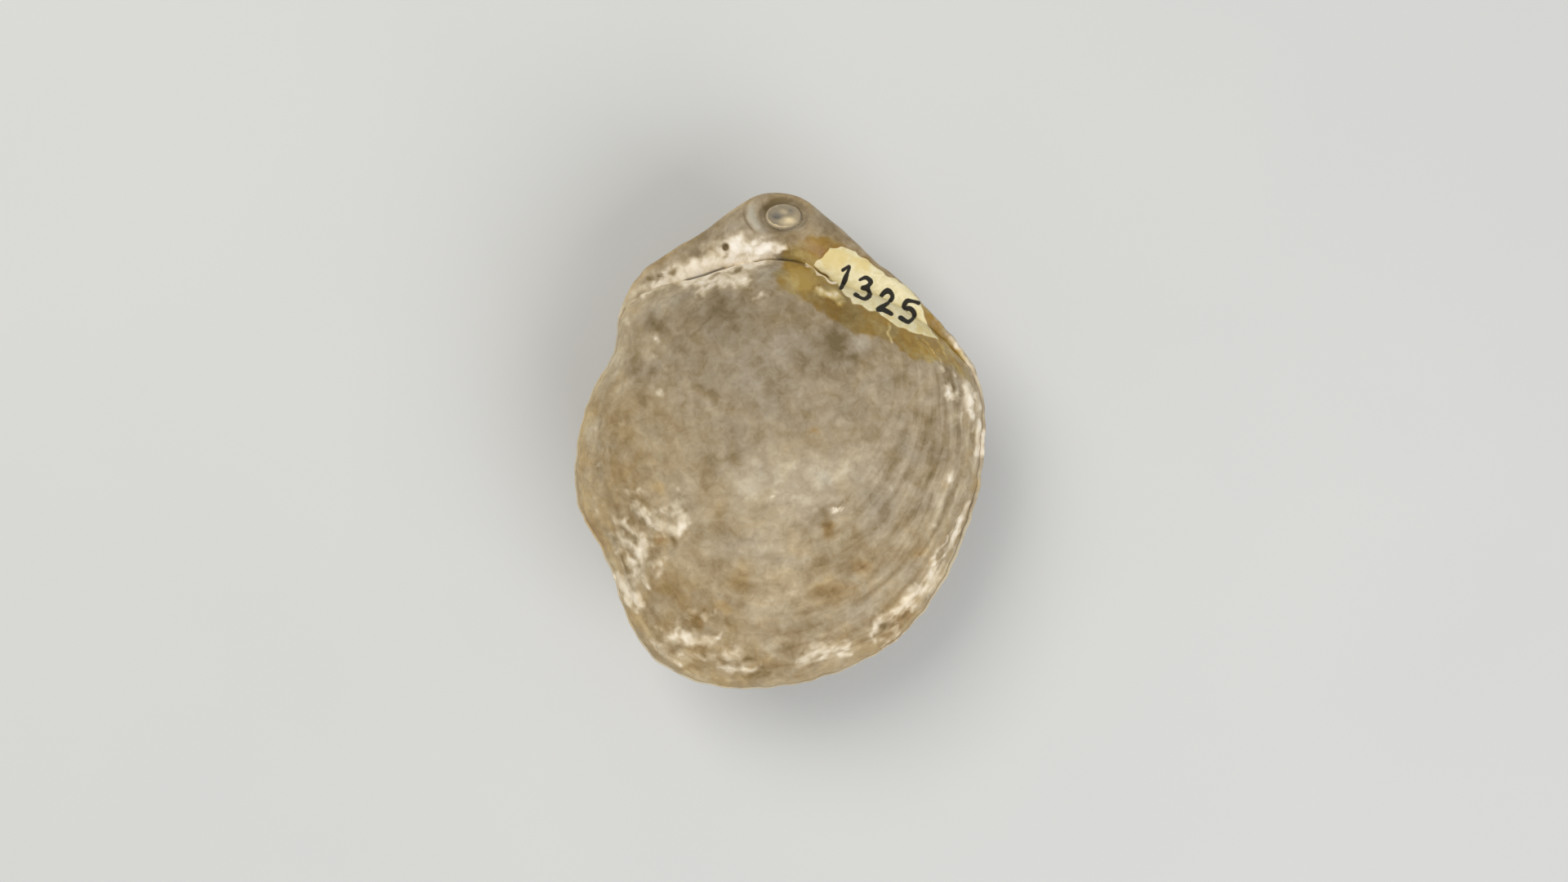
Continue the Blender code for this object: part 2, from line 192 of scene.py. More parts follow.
def disc_net(rows):
    """A square net pressed into a disc: share of radius, bearing, quads and the border's order."""
    line = np.linspace(-1.0, 1.0, rows + 1)
    u, v = [a.ravel() for a in np.meshgrid(line, line)]
    share = np.maximum(np.abs(u), np.abs(v))
    safe = np.where(share > 0.0, share, 1.0)
    flat_side = np.abs(u) >= np.abs(v)
    bearing = np.where(flat_side, 45.0 * v / safe * np.sign(u), 90.0 - 45.0 * u / safe * np.sign(v))
    bearing += np.where(flat_side & (u < 0), 180.0, 0.0) + np.where(~flat_side & (v < 0), 180.0, 0.0)
    turn = np.mod(bearing - 90.0 + 180.0, 360.0) - 180.0
    bearing = 90.0 + turn * (1.0 - 0.4 * ridge(turn, 0.0, 45.0))
    corner = (np.arange(rows)[:, None] * (rows + 1) + np.arange(rows)).ravel()
    quads = np.stack((corner, corner + 1, corner + rows + 2, corner + rows + 1), axis=1)
    side = np.arange(rows)
    last = rows * (rows + 1)
    border = np.concatenate((side, side * (rows + 1) + rows, last + rows - side, last - side * (rows + 1)))
    return share, bearing, quads, border


def closed_face(face, border, edge, gap, groove=0.0):
    """A valve's outer face with the hidden rings of points on its filling, and their quads and fan."""
    points = [face]
    for share in SEAM_SHARES:
        ring = edge * share
        level = seam_height(ring[:, 0], ring[:, 1]) + gap / 2 - (groove if share > 0.9 else 0.0)
        points.append(np.column_stack((ring, level)))
    points = np.concatenate((*points, [[0.0, 0.0, SEAM_HEIGHT + gap / 2]]))
    middle = len(points) - 1
    rows = [border, *np.arange(len(face), middle).reshape(-1, len(border))]
    quads = [np.stack((np.roll(outer, -1), outer, inner, np.roll(inner, -1)), axis=1)
             for outer, inner in zip(rows, rows[1:])]
    fan = np.stack((np.roll(rows[-1], -1), rows[-1], np.full(len(border), middle)), axis=1)
    return points, np.concatenate(quads), fan


def mesh_object(name, points, quads, triangles, facts):
    """Mesh object in metres from points in millimetres, with a named number on each point."""
    mesh = bpy.data.meshes.new(name)
    faces = [tuple(q) for q in quads.tolist()] + [tuple(t) for t in triangles.tolist()]
    mesh.from_pydata((points * MM).tolist(), [], faces)
    for fact, values in facts.items():
        layer = mesh.attributes.new(fact, "FLOAT", "POINT")
        layer.data.foreach_set("value", np.asarray(values, dtype=np.float32))
    mesh.shade_smooth()
    mesh.update()
    thing = bpy.data.objects.new(name, mesh)
    bpy.context.scene.collection.objects.link(thing)
    return thing


def growth_facts(umbo, radius_at, x, y):
    """Numbers that follow the shell's growth: its share, distances, the ledges' height and the painted shade
    at their foot.
    """
    edge = outline_points(radius_at(EVERY_BEARING), EVERY_BEARING)
    tangent = np.roll(edge, -1, axis=0) - np.roll(edge, 1, axis=0)
    tangent /= np.linalg.norm(tangent, axis=1)[:, None]
    offset = edge - np.array(umbo)
    beside = np.abs(offset[:, 0] * tangent[:, 1] - offset[:, 1] * tangent[:, 0])
    angle = np.degrees(np.arctan2(offset[:, 1], offset[:, 0]))
    order = np.argsort(angle)
    turn = np.arctan2(y - umbo[1], x - umbo[0])
    clearness = np.interp(np.degrees(turn), angle[order], beside[order], period=360.0) / FULL_LEDGE_REACH
    clearness = np.clip(clearness, 0.0, 1.0) ** 1.5
    growth = share_from(umbo, radius_at, x, y)
    for size, waves, start in GROWTH_WAVES:
        growth = growth + size * np.sin(waves * turn + start)
    height, ledge_foot_shade = np.zeros(len(x)), np.zeros(len(x))
    begin = FIRST_LEDGE
    for end, rise in GROWTH_LEDGES:
        up = np.clip((growth - begin) / (end - begin), 0.0, 1.0) ** 2
        down = 1.0 - np.clip((growth - end) / LEDGE_WIDTH, 0.0, 1.0)
        here = 0.45 + 0.35 * np.sin(2.3 * turn + 30.0 * end) * np.sin(5.9 * turn + 11.0 * end)
        height += np.where(growth > begin, rise * up * down * here, 0.0)
        # Painted shade at the foot of each ledge's step
        ledge_foot_shade += 6.0 * rise * here * ridge(growth, end + 0.7 * LEDGE_WIDTH, 0.011)
        begin = end + LEDGE_WIDTH
    banding = 0.25 + 0.75 * nearness(np.degrees(turn), *CLEAREST_BANDS)
    return {"growth": growth, "clearness": clearness, "ledge": height * clearness,
            "banding": banding * clearness, "ledge_foot_shade": ledge_foot_shade * clearness,
            "across": GROWN_LENGTH * MM * growth, "along": GROWN_LENGTH * BAND_STRETCH * MM * growth * turn}


def line_distance(x, y, line):
    """Distance of points from a bent line."""
    nearest = np.full(len(x), 1e9)
    for (x0, y0), (x1, y1) in zip(line, line[1:]):
        dx, dy = x1 - x0, y1 - y0
        t = np.clip(((x - x0) * dx + (y - y0) * dy) / (dx * dx + dy * dy), 0.0, 1.0)
        nearest = np.minimum(nearest, np.hypot(x - x0 - t * dx, y - y0 - t * dy))
    return nearest


def depth_inside(x, y, outline):
    """Distance of points inside a closed outline from its edge; outside it is negative."""
    closed = list(outline) + [outline[0]]
    inside = np.zeros(len(x), dtype=bool)
    for (x0, y0), (x1, y1) in zip(closed, closed[1:]):
        crosses = (y0 > y) != (y1 > y)
        with np.errstate(divide="ignore", invalid="ignore"):
            inside ^= crosses & (x < (x1 - x0) * (y - y0) / (y1 - y0) + x0)
    return np.where(inside, 1.0, -1.0) * line_distance(x, y, closed)


# Chalk is what is left of the shell's white outer layer; a few strokes and spots are painted
# highlights or painted light over shade. Patches of (strength, outline), strokes of (half width,
# strength, points), and spots of (x, y, half length, half width, turn, strength)
CHALK_PATCHES = (
    (1.36, ((-7.0, 9.6), (-6.6, 10.3), (-5.6, 10.9), (-3.7, 11.5), (-2.9, 12.5), (-2.1, 12.7),
            (-1.8, 12.0), (-0.6, 11.9), (0.3, 11.9), (0.5, 11.5), (-0.5, 11.1), (-0.9, 10.6), (-1.8, 10.3),
            (-2.6, 10.2), (-3.4, 10.1), (-4.5, 9.7), (-5.8, 9.2))),
    (0.94, ((-9.3, 8.3), (-8.8, 9.4), (-7.4, 10.3), (-6.3, 10.7), (-6.2, 9.6), (-7.3, 9.1), (-8.3, 8.75))),
    (1.1, ((-5.6, 9.5), (-4.4, 9.95), (-3.3, 10.35), (-2.4, 10.1), (-1.8, 10.4), (-1.7, 9.7), (-2.0, 9.2),
           (-3.0, 9.3), (-3.9, 9.3), (-4.7, 8.8), (-5.2, 9.1))),
    (1.75, ((-9.9, -8.1), (-9.4, -8.0), (-8.9, -8.8), (-8.3, -9.7), (-8.5, -10.1), (-9.0, -9.9),
            (-9.6, -9.1))),
    (1.34, ((9.55, -7.3), (9.0, -7.5), (8.4, -8.5), (7.8, -9.1), (7.3, -9.7), (7.4, -10.1), (8.0, -9.95),
            (8.4, -9.5), (8.95, -9.3), (9.35, -8.7), (9.6, -7.9))),
    (1.12, ((-7.4, -12.4), (-6.9, -11.6), (-6.0, -11.3), (-5.3, -11.6), (-4.6, -11.9), (-3.6, -11.6),
            (-4.3, -12.4), (-5.2, -12.5), (-6.2, -12.0), (-6.9, -12.3))),
    (1.02, ((-3.6, -12.7), (-2.9, -12.3), (-2.0, -12.8), (-2.5, -13.2), (-3.3, -13.2))),
    (1.26, ((1.0, -13.7), (1.2, -12.9), (2.0, -12.4), (2.9, -12.2), (2.9, -12.7), (2.0, -13.0))),
)
CHALK_STROKES = (
    (0.18, 1.0, ((-8.8, -3.9), (-8.2, -4.4), (-7.5, -4.95), (-6.9, -5.32), (-6.2, -5.4), (-5.82, -4.95),
                 (-5.95, -4.3), (-6.45, -3.95))),
    (0.16, 0.7, ((-7.0, -4.0), (-6.4, -3.9), (-6.1, -3.6))),
    (0.13, 0.55, ((-9.2, -3.0), (-8.6, -3.0), (-8.0, -3.2))), (0.14, 0.6, ((-6.1, -3.0), (-5.8, -3.8))),
    (0.14, 0.9, ((-9.9, -4.7), (-9.4, -4.9), (-8.7, -5.5), (-8.2, -5.8), (-8.1, -6.2))),
    (0.17, 0.75, ((-9.9, -5.5), (-9.3, -6.1), (-8.8, -6.3))),
    (0.22, 1.05, ((-8.4, -6.3), (-8.3, -6.8), (-8.2, -7.2))),
    (0.15, 0.9, ((-9.7, -6.6), (-9.3, -7.0), (-8.8, -7.5))),
    (0.13, 0.6, ((-7.7, -6.2), (-7.3, -6.7), (-6.9, -7.0))),
    (0.18, 0.8, ((-7.8, -7.3), (-7.4, -7.5), (-7.3, -7.9))),
    (0.15, 0.8, ((-8.7, -7.7), (-8.3, -8.1), (-8.1, -8.7))),
    (0.14, 0.55, ((-9.5, -7.4), (-9.0, -8.0), (-8.6, -8.3))),
    (0.14, 0.65, ((-6.4, -11.0), (-5.6, -10.6), (-5.0, -10.2), (-4.4, -10.6), (-3.9, -10.3))),
    (0.12, 0.7, ((-2.8, -13.7), (-2.0, -13.8), (-1.2, -13.6))),
    (0.16, 0.6, ((-4.7, -12.4), (-4.2, -12.9), (-3.7, -13.3))),
    (0.13, 0.6, ((-6.9, -12.4), (-6.4, -12.9), (-5.7, -13.0))), (0.13, 0.6, ((2.6, -12.4), (4.1, -12.1))),
    (0.12, 0.6, ((2.0, -13.3), (3.2, -12.9), (4.2, -12.8))),
    (0.15, 0.72, ((5.5, -11.6), (5.7, -11.1), (6.2, -10.7), (6.8, -10.8), (7.0, -11.3), (6.7, -11.8),
                  (6.2, -12.0), (5.7, -12.0))),
    (0.12, 0.85, ((6.2, -12.4), (6.8, -12.3), (7.2, -11.9), (7.0, -11.5))),
    (0.2, 0.8, ((7.2, -10.2), (6.7, -10.5), (6.0, -10.7))),
    (0.11, 0.8, ((7.6, -9.9), (7.9, -10.2), (8.1, -9.9), (7.9, -9.5))),
    (0.09, 0.95, ((9.6, -7.3), (10.2, -6.2), (10.8, -5.1), (11.4, -3.7))),
    (0.11, 0.95, ((10.3, -6.2), (10.7, -5.4), (10.9, -4.8))),
    (0.06, 0.75, ((9.7, -6.4), (10.4, -5.3), (11.1, -4.1))),
    (0.07, 0.55, ((8.5, -7.9), (9.1, -7.1), (9.6, -6.4), (10.0, -6.0))),
    (0.12, 0.4, ((5.0, -12.2), (5.5, -11.9), (5.9, -11.6))),
    (0.13, 0.7, ((-7.6, -12.1), (-7.2, -12.8), (-6.6, -13.1), (-6.1, -13.4))),
    (0.1, 0.6, ((-5.4, -12.3), (-5.0, -12.9), (-4.4, -13.1))),
    (0.12, 0.65, ((-3.9, -13.0), (-3.6, -13.6), (-2.9, -13.8))),
    (0.1, 0.55, ((-7.2, -11.4), (-6.5, -11.1), (-5.9, -10.8))),
    (0.16, 1.1, ((11.2, 3.2), (11.3, 2.6), (11.6, 1.6))), (0.13, 0.9, ((10.1, 3.5), (10.1, 2.6))),
    (0.16, 1.1, ((11.8, 2.6), (12.0, 2.0))), (0.18, 1.25, ((12.0, 0.9), (12.0, -0.7))),
    # Painted highlight: the glossy white streak along the varnish's right edge
    (0.1, 1.05, ((10.4, 6.2), (11.0, 5.1), (11.6, 4.3), (12.1, 3.4))),
    (0.09, 0.95, ((-10.3, 7.2), (-9.5, 8.05), (-8.45, 8.7), (-7.05, 9.22), (-5.8, 9.68))),
    (0.12, 1.2, ((-2.5, 10.2), (-1.8, 10.7), (-1.2, 11.2), (-0.6, 11.6), (0.3, 11.7))),
    (0.14, 1.3, ((-8.2, 9.15), (-7.6, 9.3), (-7.0, 9.5), (-6.4, 9.8))),
    (0.16, 1.55, ((9.35, -7.5), (9.0, -8.1), (8.65, -8.8))),
    # Partly a pale line on the shell, partly painted light that lifts the shadow in the groove at the seam
    (0.11, 0.75, ((-8.0, 8.98), (-8.5, 8.85), (-9.0, 8.5), (-9.4, 8.15))),
    (0.1, 0.6, ((-1.5, 8.6), (-1.0, 8.9), (-0.5, 9.0))),
    # Partly a white line along the seam, partly a painted highlight on the varnish
    (0.04, 2.1, ((1.48, 10.69), (1.9, 10.38), (2.3, 10.05), (2.65, 9.8), (3.0, 9.62), (3.4, 9.47))),
    (0.06, 0.8, ((6.5, 7.0), (6.6, 6.4), (6.8, 5.9))), (0.06, 0.8, ((8.7, 6.2), (9.3, 5.3), (9.9, 4.2))),
    (0.05, 0.7, ((9.2, 6.5), (9.9, 5.4), (10.5, 4.0))),
)
CHALK_SPOTS = (
    # The spot at (-2.6, 10.95) is made brighter as painted light that lifts the shade of the groove at the
    # seam
    (-5.2, 10.6, 0.6, 0.3, 20, 1.7), (-2.6, 10.95, 0.7, 0.3, 15, 1.8), (-2.6, 11.6, 0.9, 0.5, 40, 1.7),
    (-3.9, 10.9, 0.8, 0.4, 20, 1.7), (-9.3, 7.2, 0.3, 0.4, 0, 0.7), (-7.3, -5.6, 0.7, 0.4, 0, 0.5),
    (-8.2, -6.2, 2.3, 1.1, -60, 0.42), (-7.4, -4.4, 1.7, 1.0, 0, 0.42), (-7.2, -6.6, 0.25, 0.2, 0, 0.5),
    (-7.5, -2.3, 0.5, 0.4, 0, 0.3), (-5.4, -12.6, 2.4, 0.9, 0, 0.45), (-2.6, -13.2, 1.4, 0.7, -10, 0.45),
    (-7.2, -11.3, 0.4, 0.25, 0, 0.7), (-5.5, -13.1, 0.4, 0.3, 0, 0.6), (-4.6, 11.7, 2.4, 0.4, 24, 0.5),
    (-3.3, 12.5, 0.8, 0.7, 0, 0.55), (-6.9, 10.8, 0.9, 0.3, 25, 0.4), (-0.9, 12.3, 1.2, 0.3, 0, 0.45),
    (2.6, -12.9, 2.2, 0.7, 12, 0.5), (3.7, -12.5, 0.7, 0.3, 15, 0.6), (7.9, -9.5, 2.8, 0.6, 50, 0.34),
    (6.4, -11.6, 0.9, 0.6, 30, 0.42), (10.9, 2.2, 0.6, 1.8, -5, 0.5), (10.5, 2.7, 0.45, 0.5, 0, 1.0),
    (11.5, 1.6, 0.3, 0.3, 0, 1.0), (10.6, 1.0, 0.6, 0.2, 5, 0.5), (10.2, -2.3, 0.4, 0.8, 0, 0.5),
    (9.7, -3.7, 0.5, 0.9, -10, 0.5), (9.5, -5.1, 0.5, 0.6, 0, 0.45), (3.4, -4.15, 0.4, 0.18, 5, 1.1),
    (-0.5, -3.3, 0.3, 0.15, -10, 0.8), (2.2, -5.1, 0.3, 0.2, 10, 0.5), (4.9, -7.6, 0.3, 0.3, 0, 0.5),
    (5.1, -8.4, 0.5, 0.12, 25, 0.6), (8.3, -7.0, 0.2, 0.2, 0, 0.6), (-7.5, 6.2, 0.3, 0.4, 20, 0.5),
    (-7.7, 5.0, 0.2, 0.35, 0, 0.5), (-6.9, 4.3, 0.2, 0.2, 0, 0.5), (-7.2, 2.9, 0.45, 0.35, 20, 0.55),
    (-6.3, 3.2, 0.5, 0.5, 30, 0.35), (-3.5, 4.0, 0.4, 0.5, 10, 0.35), (-11.1, 0.6, 0.4, 0.5, 0, 0.6),
    (-11.0, -1.5, 0.25, 0.25, 0, 0.9), (-11.1, -4.2, 0.4, 0.4, 0, 0.45), (-1.9, 0.3, 0.9, 0.3, -15, 0.3),
    (2.4, 9.0, 0.4, 0.3, 0, 1.15), (3.2, 8.8, 0.7, 0.35, -20, 1.4), (3.6, 8.4, 0.45, 0.25, -20, 1.2),
    (-9.4, 6.4, 0.25, 1.0, 0, 0.35), (-2.3, -6.6, 0.9, 0.3, 0, 0.25),
)

# Hollows and scrapes that the chalk has gone from, as spots again
CHALK_GAPS = (
    (-8.25, 9.62, 0.3, 0.18, 25, 0.8), (-7.26, 9.95, 0.3, 0.17, 30, 0.6),
    (-6.53, 10.15, 0.28, 0.16, 20, 0.7), (-3.3, 11.2, 0.14, 0.35, 0, 0.6),
    (-2.05, 11.3, 0.28, 0.16, 0, 0.35), (-3.0, 10.1, 0.22, 0.12, -20, 0.5),
    (-2.48, 10.22, 0.25, 0.12, 10, 0.8), (8.15, -9.5, 0.35, 0.22, 50, 0.8),
    (-7.85, 9.5, 0.22, 0.14, 20, 0.6), (-6.5, 10.05, 0.5, 0.3, 25, 0.22),
)

# Lighter and darker patches of the worn surface, with a few spots of painted shade and of painted light that
# lifts shade, as (x, y, half length, half width, turn, strength)
TONE_SPOTS = (
    (-0.5, 6.0, 6.5, 3.4, 0, -0.34), (1.2, -2.2, 3.9, 1.5, 5, 0.95), (3.3, -2.0, 1.5, 0.9, 12, 0.55),
    (-2.0, -3.2, 0.9, 0.8, 0, 0.4), (-1.9, -2.6, 1.0, 1.1, 0, 0.55), (0.2, -6.4, 1.5, 2.6, 5, 0.6),
    # The dark spot at (0.2, 14.6) is painted shade on the foramen's back wall
    (0.4, -10.0, 1.6, 0.8, 5, -0.25), (0.2, 14.6, 1.3, 0.5, 0, -1.3), (-2.3, -6.6, 1.0, 0.4, 0, 0.5),
    (-9.6, 5.0, 0.5, 1.8, 0, 0.55), (-6.4, -9.2, 1.5, 1.0, -20, -0.5), (3.4, 5.7, 0.6, 1.2, 22, -1.6),
    (2.3, 5.9, 0.5, 0.4, 0, -0.6), (4.3, 5.1, 0.5, 0.4, 0, -0.7), (1.5, 4.7, 0.7, 0.4, 0, -0.45),
    (0.9, 7.2, 0.5, 0.4, 0, -0.4), (-3.0, 7.1, 0.6, 1.2, 5, -0.7), (-3.7, 8.3, 0.7, 0.5, 0, -0.6),
    (-7.7, 7.3, 0.25, 0.5, 30, -1.0), (-7.1, 6.7, 0.4, 0.25, -45, -0.8), (-7.5, 5.5, 0.4, 0.25, -30, -0.9),
    (-7.3, 5.0, 0.2, 0.3, 0, -0.8), (-5.8, 5.5, 0.4, 0.35, 0, -0.8), (-7.6, 4.2, 0.3, 0.2, 0, -0.9),
    (-8.6, 4.6, 0.35, 1.5, 5, -0.65), (-8.4, 2.6, 0.5, 0.5, 0, -0.65), (-0.8, 3.5, 0.3, 0.7, 0, -0.55),
    (-4.0, 2.8, 0.5, 0.25, -10, -0.8), (-2.9, 2.1, 0.3, 0.3, 0, -0.4), (-4.8, 6.9, 0.8, 0.08, 48, -0.9),
    (-9.6, 1.4, 0.5, 0.4, 0, -0.6), (-11.2, 2.2, 0.35, 0.5, 20, -0.6), (-5.9, 0.8, 0.4, 0.5, 0, -0.5),
    (-4.4, 0.2, 0.5, 0.4, 0, -0.5), (-0.2, 5.5, 0.7, 0.9, 0, 0.55), (4.8, 5.8, 0.4, 0.6, -20, 0.75),
    (2.5, 3.4, 0.6, 0.5, 0, 0.5), (5.3, 3.2, 0.4, 0.5, 0, 0.45), (4.6, 2.0, 0.6, 0.5, 0, 0.5),
    (-4.3, 2.2, 1.0, 0.2, -55, 0.6), (7.2, 3.9, 0.5, 0.5, 0, -0.6), (8.8, 1.2, 0.5, 0.8, 10, -0.6),
    (9.4, -0.5, 0.5, 0.6, 0, -0.65), (9.1, -1.8, 0.3, 0.4, 0, -0.6), (6.5, -1.0, 0.5, 0.5, 0, -0.6),
    (-0.5, -3.8, 0.45, 0.3, 0, -0.8), (0.6, -3.7, 0.45, 0.1, 0, -0.6), (3.8, -3.7, 0.8, 0.14, 35, -0.9),
    (2.9, -5.2, 0.3, 0.6, 10, -1.9), (2.6, -4.4, 0.25, 0.4, 0, -0.9), (1.6, -5.3, 0.5, 0.5, 0, -0.65),
    (5.9, -3.9, 0.7, 1.0, 20, -0.4), (4.7, -5.4, 0.4, 0.2, 0, -0.6), (4.9, -6.6, 0.7, 0.5, 10, -0.7),
    (2.5, -7.3, 0.6, 0.5, 0, -0.75), (3.2, -9.2, 1.3, 0.5, 10, -0.65), (2.0, -10.6, 0.8, 0.6, -30, -0.9),
    (2.7, -11.95, 0.5, 0.2, 12, -1.3), (0.4, -12.5, 0.6, 0.4, 0, -0.7), (4.4, -12.3, 0.6, 0.5, 0, -0.9),
    (-2.8, -1.0, 0.5, 0.5, 0, -0.6), (-3.3, -3.3, 0.3, 0.35, 0, -0.7), (-4.9, -5.2, 0.5, 0.5, 0, -0.5),
    (-3.4, -5.5, 0.6, 0.5, 0, -0.45), (-2.6, -8.3, 0.6, 0.5, 0, -0.6), (-3.4, -7.5, 0.5, 0.4, 0, -0.7),
    (-6.4, -6.1, 0.22, 0.25, 0, -1.6), (-6.8, -4.6, 0.4, 0.15, -10, -1.1), (-7.2, -5.8, 0.3, 0.25, 0, -0.3),
    (-4.9, -10.7, 0.4, 0.4, 0, -0.9), (-5.4, -11.3, 0.6, 0.2, 10, -1.0), (-3.5, -10.9, 0.4, 0.35, 0, -1.0),
    (-7.6, -10.6, 0.9, 0.3, -35, -0.8), (-5.2, -13.6, 0.9, 0.3, 5, -1.3), (-1.1, -14.0, 0.9, 0.35, 5, -1.1),
    (-6.0, -11.0, 0.7, 0.4, 20, -0.3), (-6.1, -12.45, 0.5, 0.25, 15, -1.1),
    (11.2, -2.0, 0.4, 1.6, -5, 0.45), (6.0, -7.0, 1.0, 0.7, 10, 0.3), (0.3, -7.2, 0.9, 1.2, 0, 0.25),
    (-11.2, -5.4, 0.3, 1.2, 25, -0.15), (-9.9, 8.0, 0.6, 0.8, 0, 0.5), (-8.3, 8.0, 0.8, 0.4, 20, 0.35),
    # The spot at (-10.4, -6.3) is painted light that lifts the shade of the steep margin
    (-10.7, 3.6, 0.4, 1.8, -25, 0.4), (-10.4, -6.3, 0.4, 1.7, 25, 0.5), (-9.6, -1.2, 0.9, 1.1, 0, -0.4),
    (-7.9, 9.75, 0.2, 0.15, 0, -1.0), (-7.1, 10.0, 0.2, 0.15, 0, -1.0), (-6.5, 10.25, 0.2, 0.12, 0, -0.8),
    (-3.4, 11.1, 0.12, 0.3, 0, -0.9), (-4.4, -13.0, 0.4, 0.3, 0, -0.9), (-3.3, -13.4, 0.3, 0.25, 0, -1.0),
    (-1.9, -13.2, 0.5, 0.14, 15, -1.1), (-0.2, -13.4, 0.5, 0.4, 5, -0.7), (-2.2, -14.2, 0.7, 0.2, 0, -0.7),
    (1.9, -13.5, 0.5, 0.25, 20, -0.7), (-8.4, -3.6, 0.5, 0.3, -20, -0.7),
    (-9.3, -5.3, 0.4, 0.15, -25, -0.8), (-8.4, -5.0, 0.5, 0.15, -35, -0.8),
    (-8.9, -6.0, 0.25, 0.25, 0, -0.7), (-7.8, -6.1, 0.25, 0.2, 0, -0.8), (-8.9, -6.9, 0.4, 0.12, -50, -0.7),
    (-9.3, -7.6, 0.5, 0.2, -40, -0.5), (11.5, 2.1, 0.12, 0.12, 0, -1.5), (6.3, -11.2, 0.3, 0.22, 20, -1.3),
    (7.6, -10.5, 0.8, 0.2, 45, -0.6), (-8.0, 9.7, 0.35, 0.2, 10, -1.1), (-7.3, 10.0, 0.35, 0.2, 30, -1.0),
    (-6.3, 10.3, 0.5, 0.15, 20, -0.9), (-5.3, 11.4, 0.8, 0.2, 22, -0.1), (-2.7, 12.95, 0.9, 0.45, 25, 1.3),
    (-3.3, 11.3, 0.12, 0.3, 0, -0.8), (-2.0, 11.5, 0.3, 0.2, 0, -0.6), (-0.6, 10.2, 0.9, 0.4, 10, 0.5),
    # The spot at (0.9, 11.1) is painted light that lifts the shade in the dip under the beak
    (1.2, 9.8, 1.1, 0.7, 0, 1.9), (0.9, 11.1, 1.1, 0.45, -10, 1.5), (8.3, 5.4, 1.0, 0.4, -30, 0.75),
    (5.9, 6.7, 0.7, 0.3, -30, 0.6), (4.0, 7.7, 1.2, 0.4, -25, -0.6), (9.3, 5.0, 0.5, 0.35, -40, 0.8),
    (2.0, 12.0, 0.5, 0.4, 0, 0.5), (10.4, 5.0, 1.2, 0.5, -48, 0.5), (-6.5, 8.6, 1.5, 0.3, 22, 0.25),
    (-11.3, 0.0, 0.5, 3.0, 0, 0.35), (-10.4, -0.2, 0.4, 0.9, 0, 0.2), (-4.6, -1.6, 1.0, 1.6, 10, -0.55),
    (-7.4, -3.6, 1.1, 0.7, 0, 0.6), (-6.4, 9.1, 1.0, 0.45, 20, 0.9), (-1.2, 10.7, 0.6, 0.35, 20, 0.9),
    (0.3, 5.3, 0.6, 1.0, 0, 0.4), (-7.5, 5.5, 0.8, 0.6, 0, -0.3), (-2.5, 5.6, 0.6, 0.6, 0, -0.35),
    (2.8, 5.0, 0.6, 0.7, 0, -0.4), (9.2, 6.0, 1.2, 0.5, -45, 0.8), (-2.1, 0.4, 0.8, 0.7, 0, 0.55),
    (5.6, -2.8, 0.7, 0.7, 0, 0.55), (9.5, -4.0, 0.6, 1.0, 0, 0.45), (4.8, 0.0, 0.6, 0.8, 0, -0.3),
    (-1.5, -6.2, 0.7, 0.6, 0, 0.35), (-3.8, -7.8, 0.8, 1.2, 0, -0.35), (1.6, 12.6, 0.6, 0.5, 0, 0.4),
    (-7.3, -2.8, 0.5, 0.4, -30, 0.6), (-8.6, 9.0, 0.8, 0.5, 45, 0.7), (-4.1, -2.7, 0.7, 0.9, 0, -0.65),
    (7.8, -5.7, 1.0, 1.2, 0, -0.3), (-4.9, -6.9, 1.2, 0.8, 0, -0.25), (-10.1, -4.7, 0.5, 0.8, 20, 0.8),
    (-4.5, -10.0, 1.4, 0.6, 0, 0.45), (9.7, -4.4, 0.6, 0.8, 0, 0.4), (1.4, -3.8, 0.7, 0.5, 0, 0.5),
    (7.4, 6.6, 1.6, 0.4, -28, 0.6), (6.7, 1.0, 0.5, 0.7, 0, 0.5), (0.4, 8.9, 1.4, 0.5, 0, 0.5),
    (-7.0, 9.9, 1.6, 0.5, 35, 0.2), (-9.9, 2.4, 0.5, 1.8, 10, 0.3), (8.0, 4.8, 0.8, 0.4, 0, -0.3),
    (9.0, 3.3, 0.8, 0.6, 0, -0.3), (4.6, 2.0, 0.7, 1.3, 0, -0.4), (-5.6, -0.3, 0.8, 0.6, 0, -0.4),
    (-7.5, 7.6, 1.6, 0.6, 0, 0.3), (-6.4, -8.8, 0.8, 0.5, 0, 0.3), (-1.5, -5.5, 0.8, 1.2, 0, 0.3),
    (2.6, 4.6, 0.8, 1.2, 0, -0.25), (2.0, 7.0, 0.8, 0.5, 0, -0.3), (5.3, -4.6, 0.5, 0.8, 0, 0.3),
    # The spot at (-8.4, 8.97) is painted light that lifts the shadow in the groove at the seam
    (6.9, -10.4, 0.5, 0.6, 40, 0.1), (-8.4, 8.97, 0.4, 0.16, 25, 0.9), (11.0, 1.0, 0.6, 0.7, 0, -0.35),
    (7.0, -10.2, 1.1, 0.9, 40, -0.4),
)

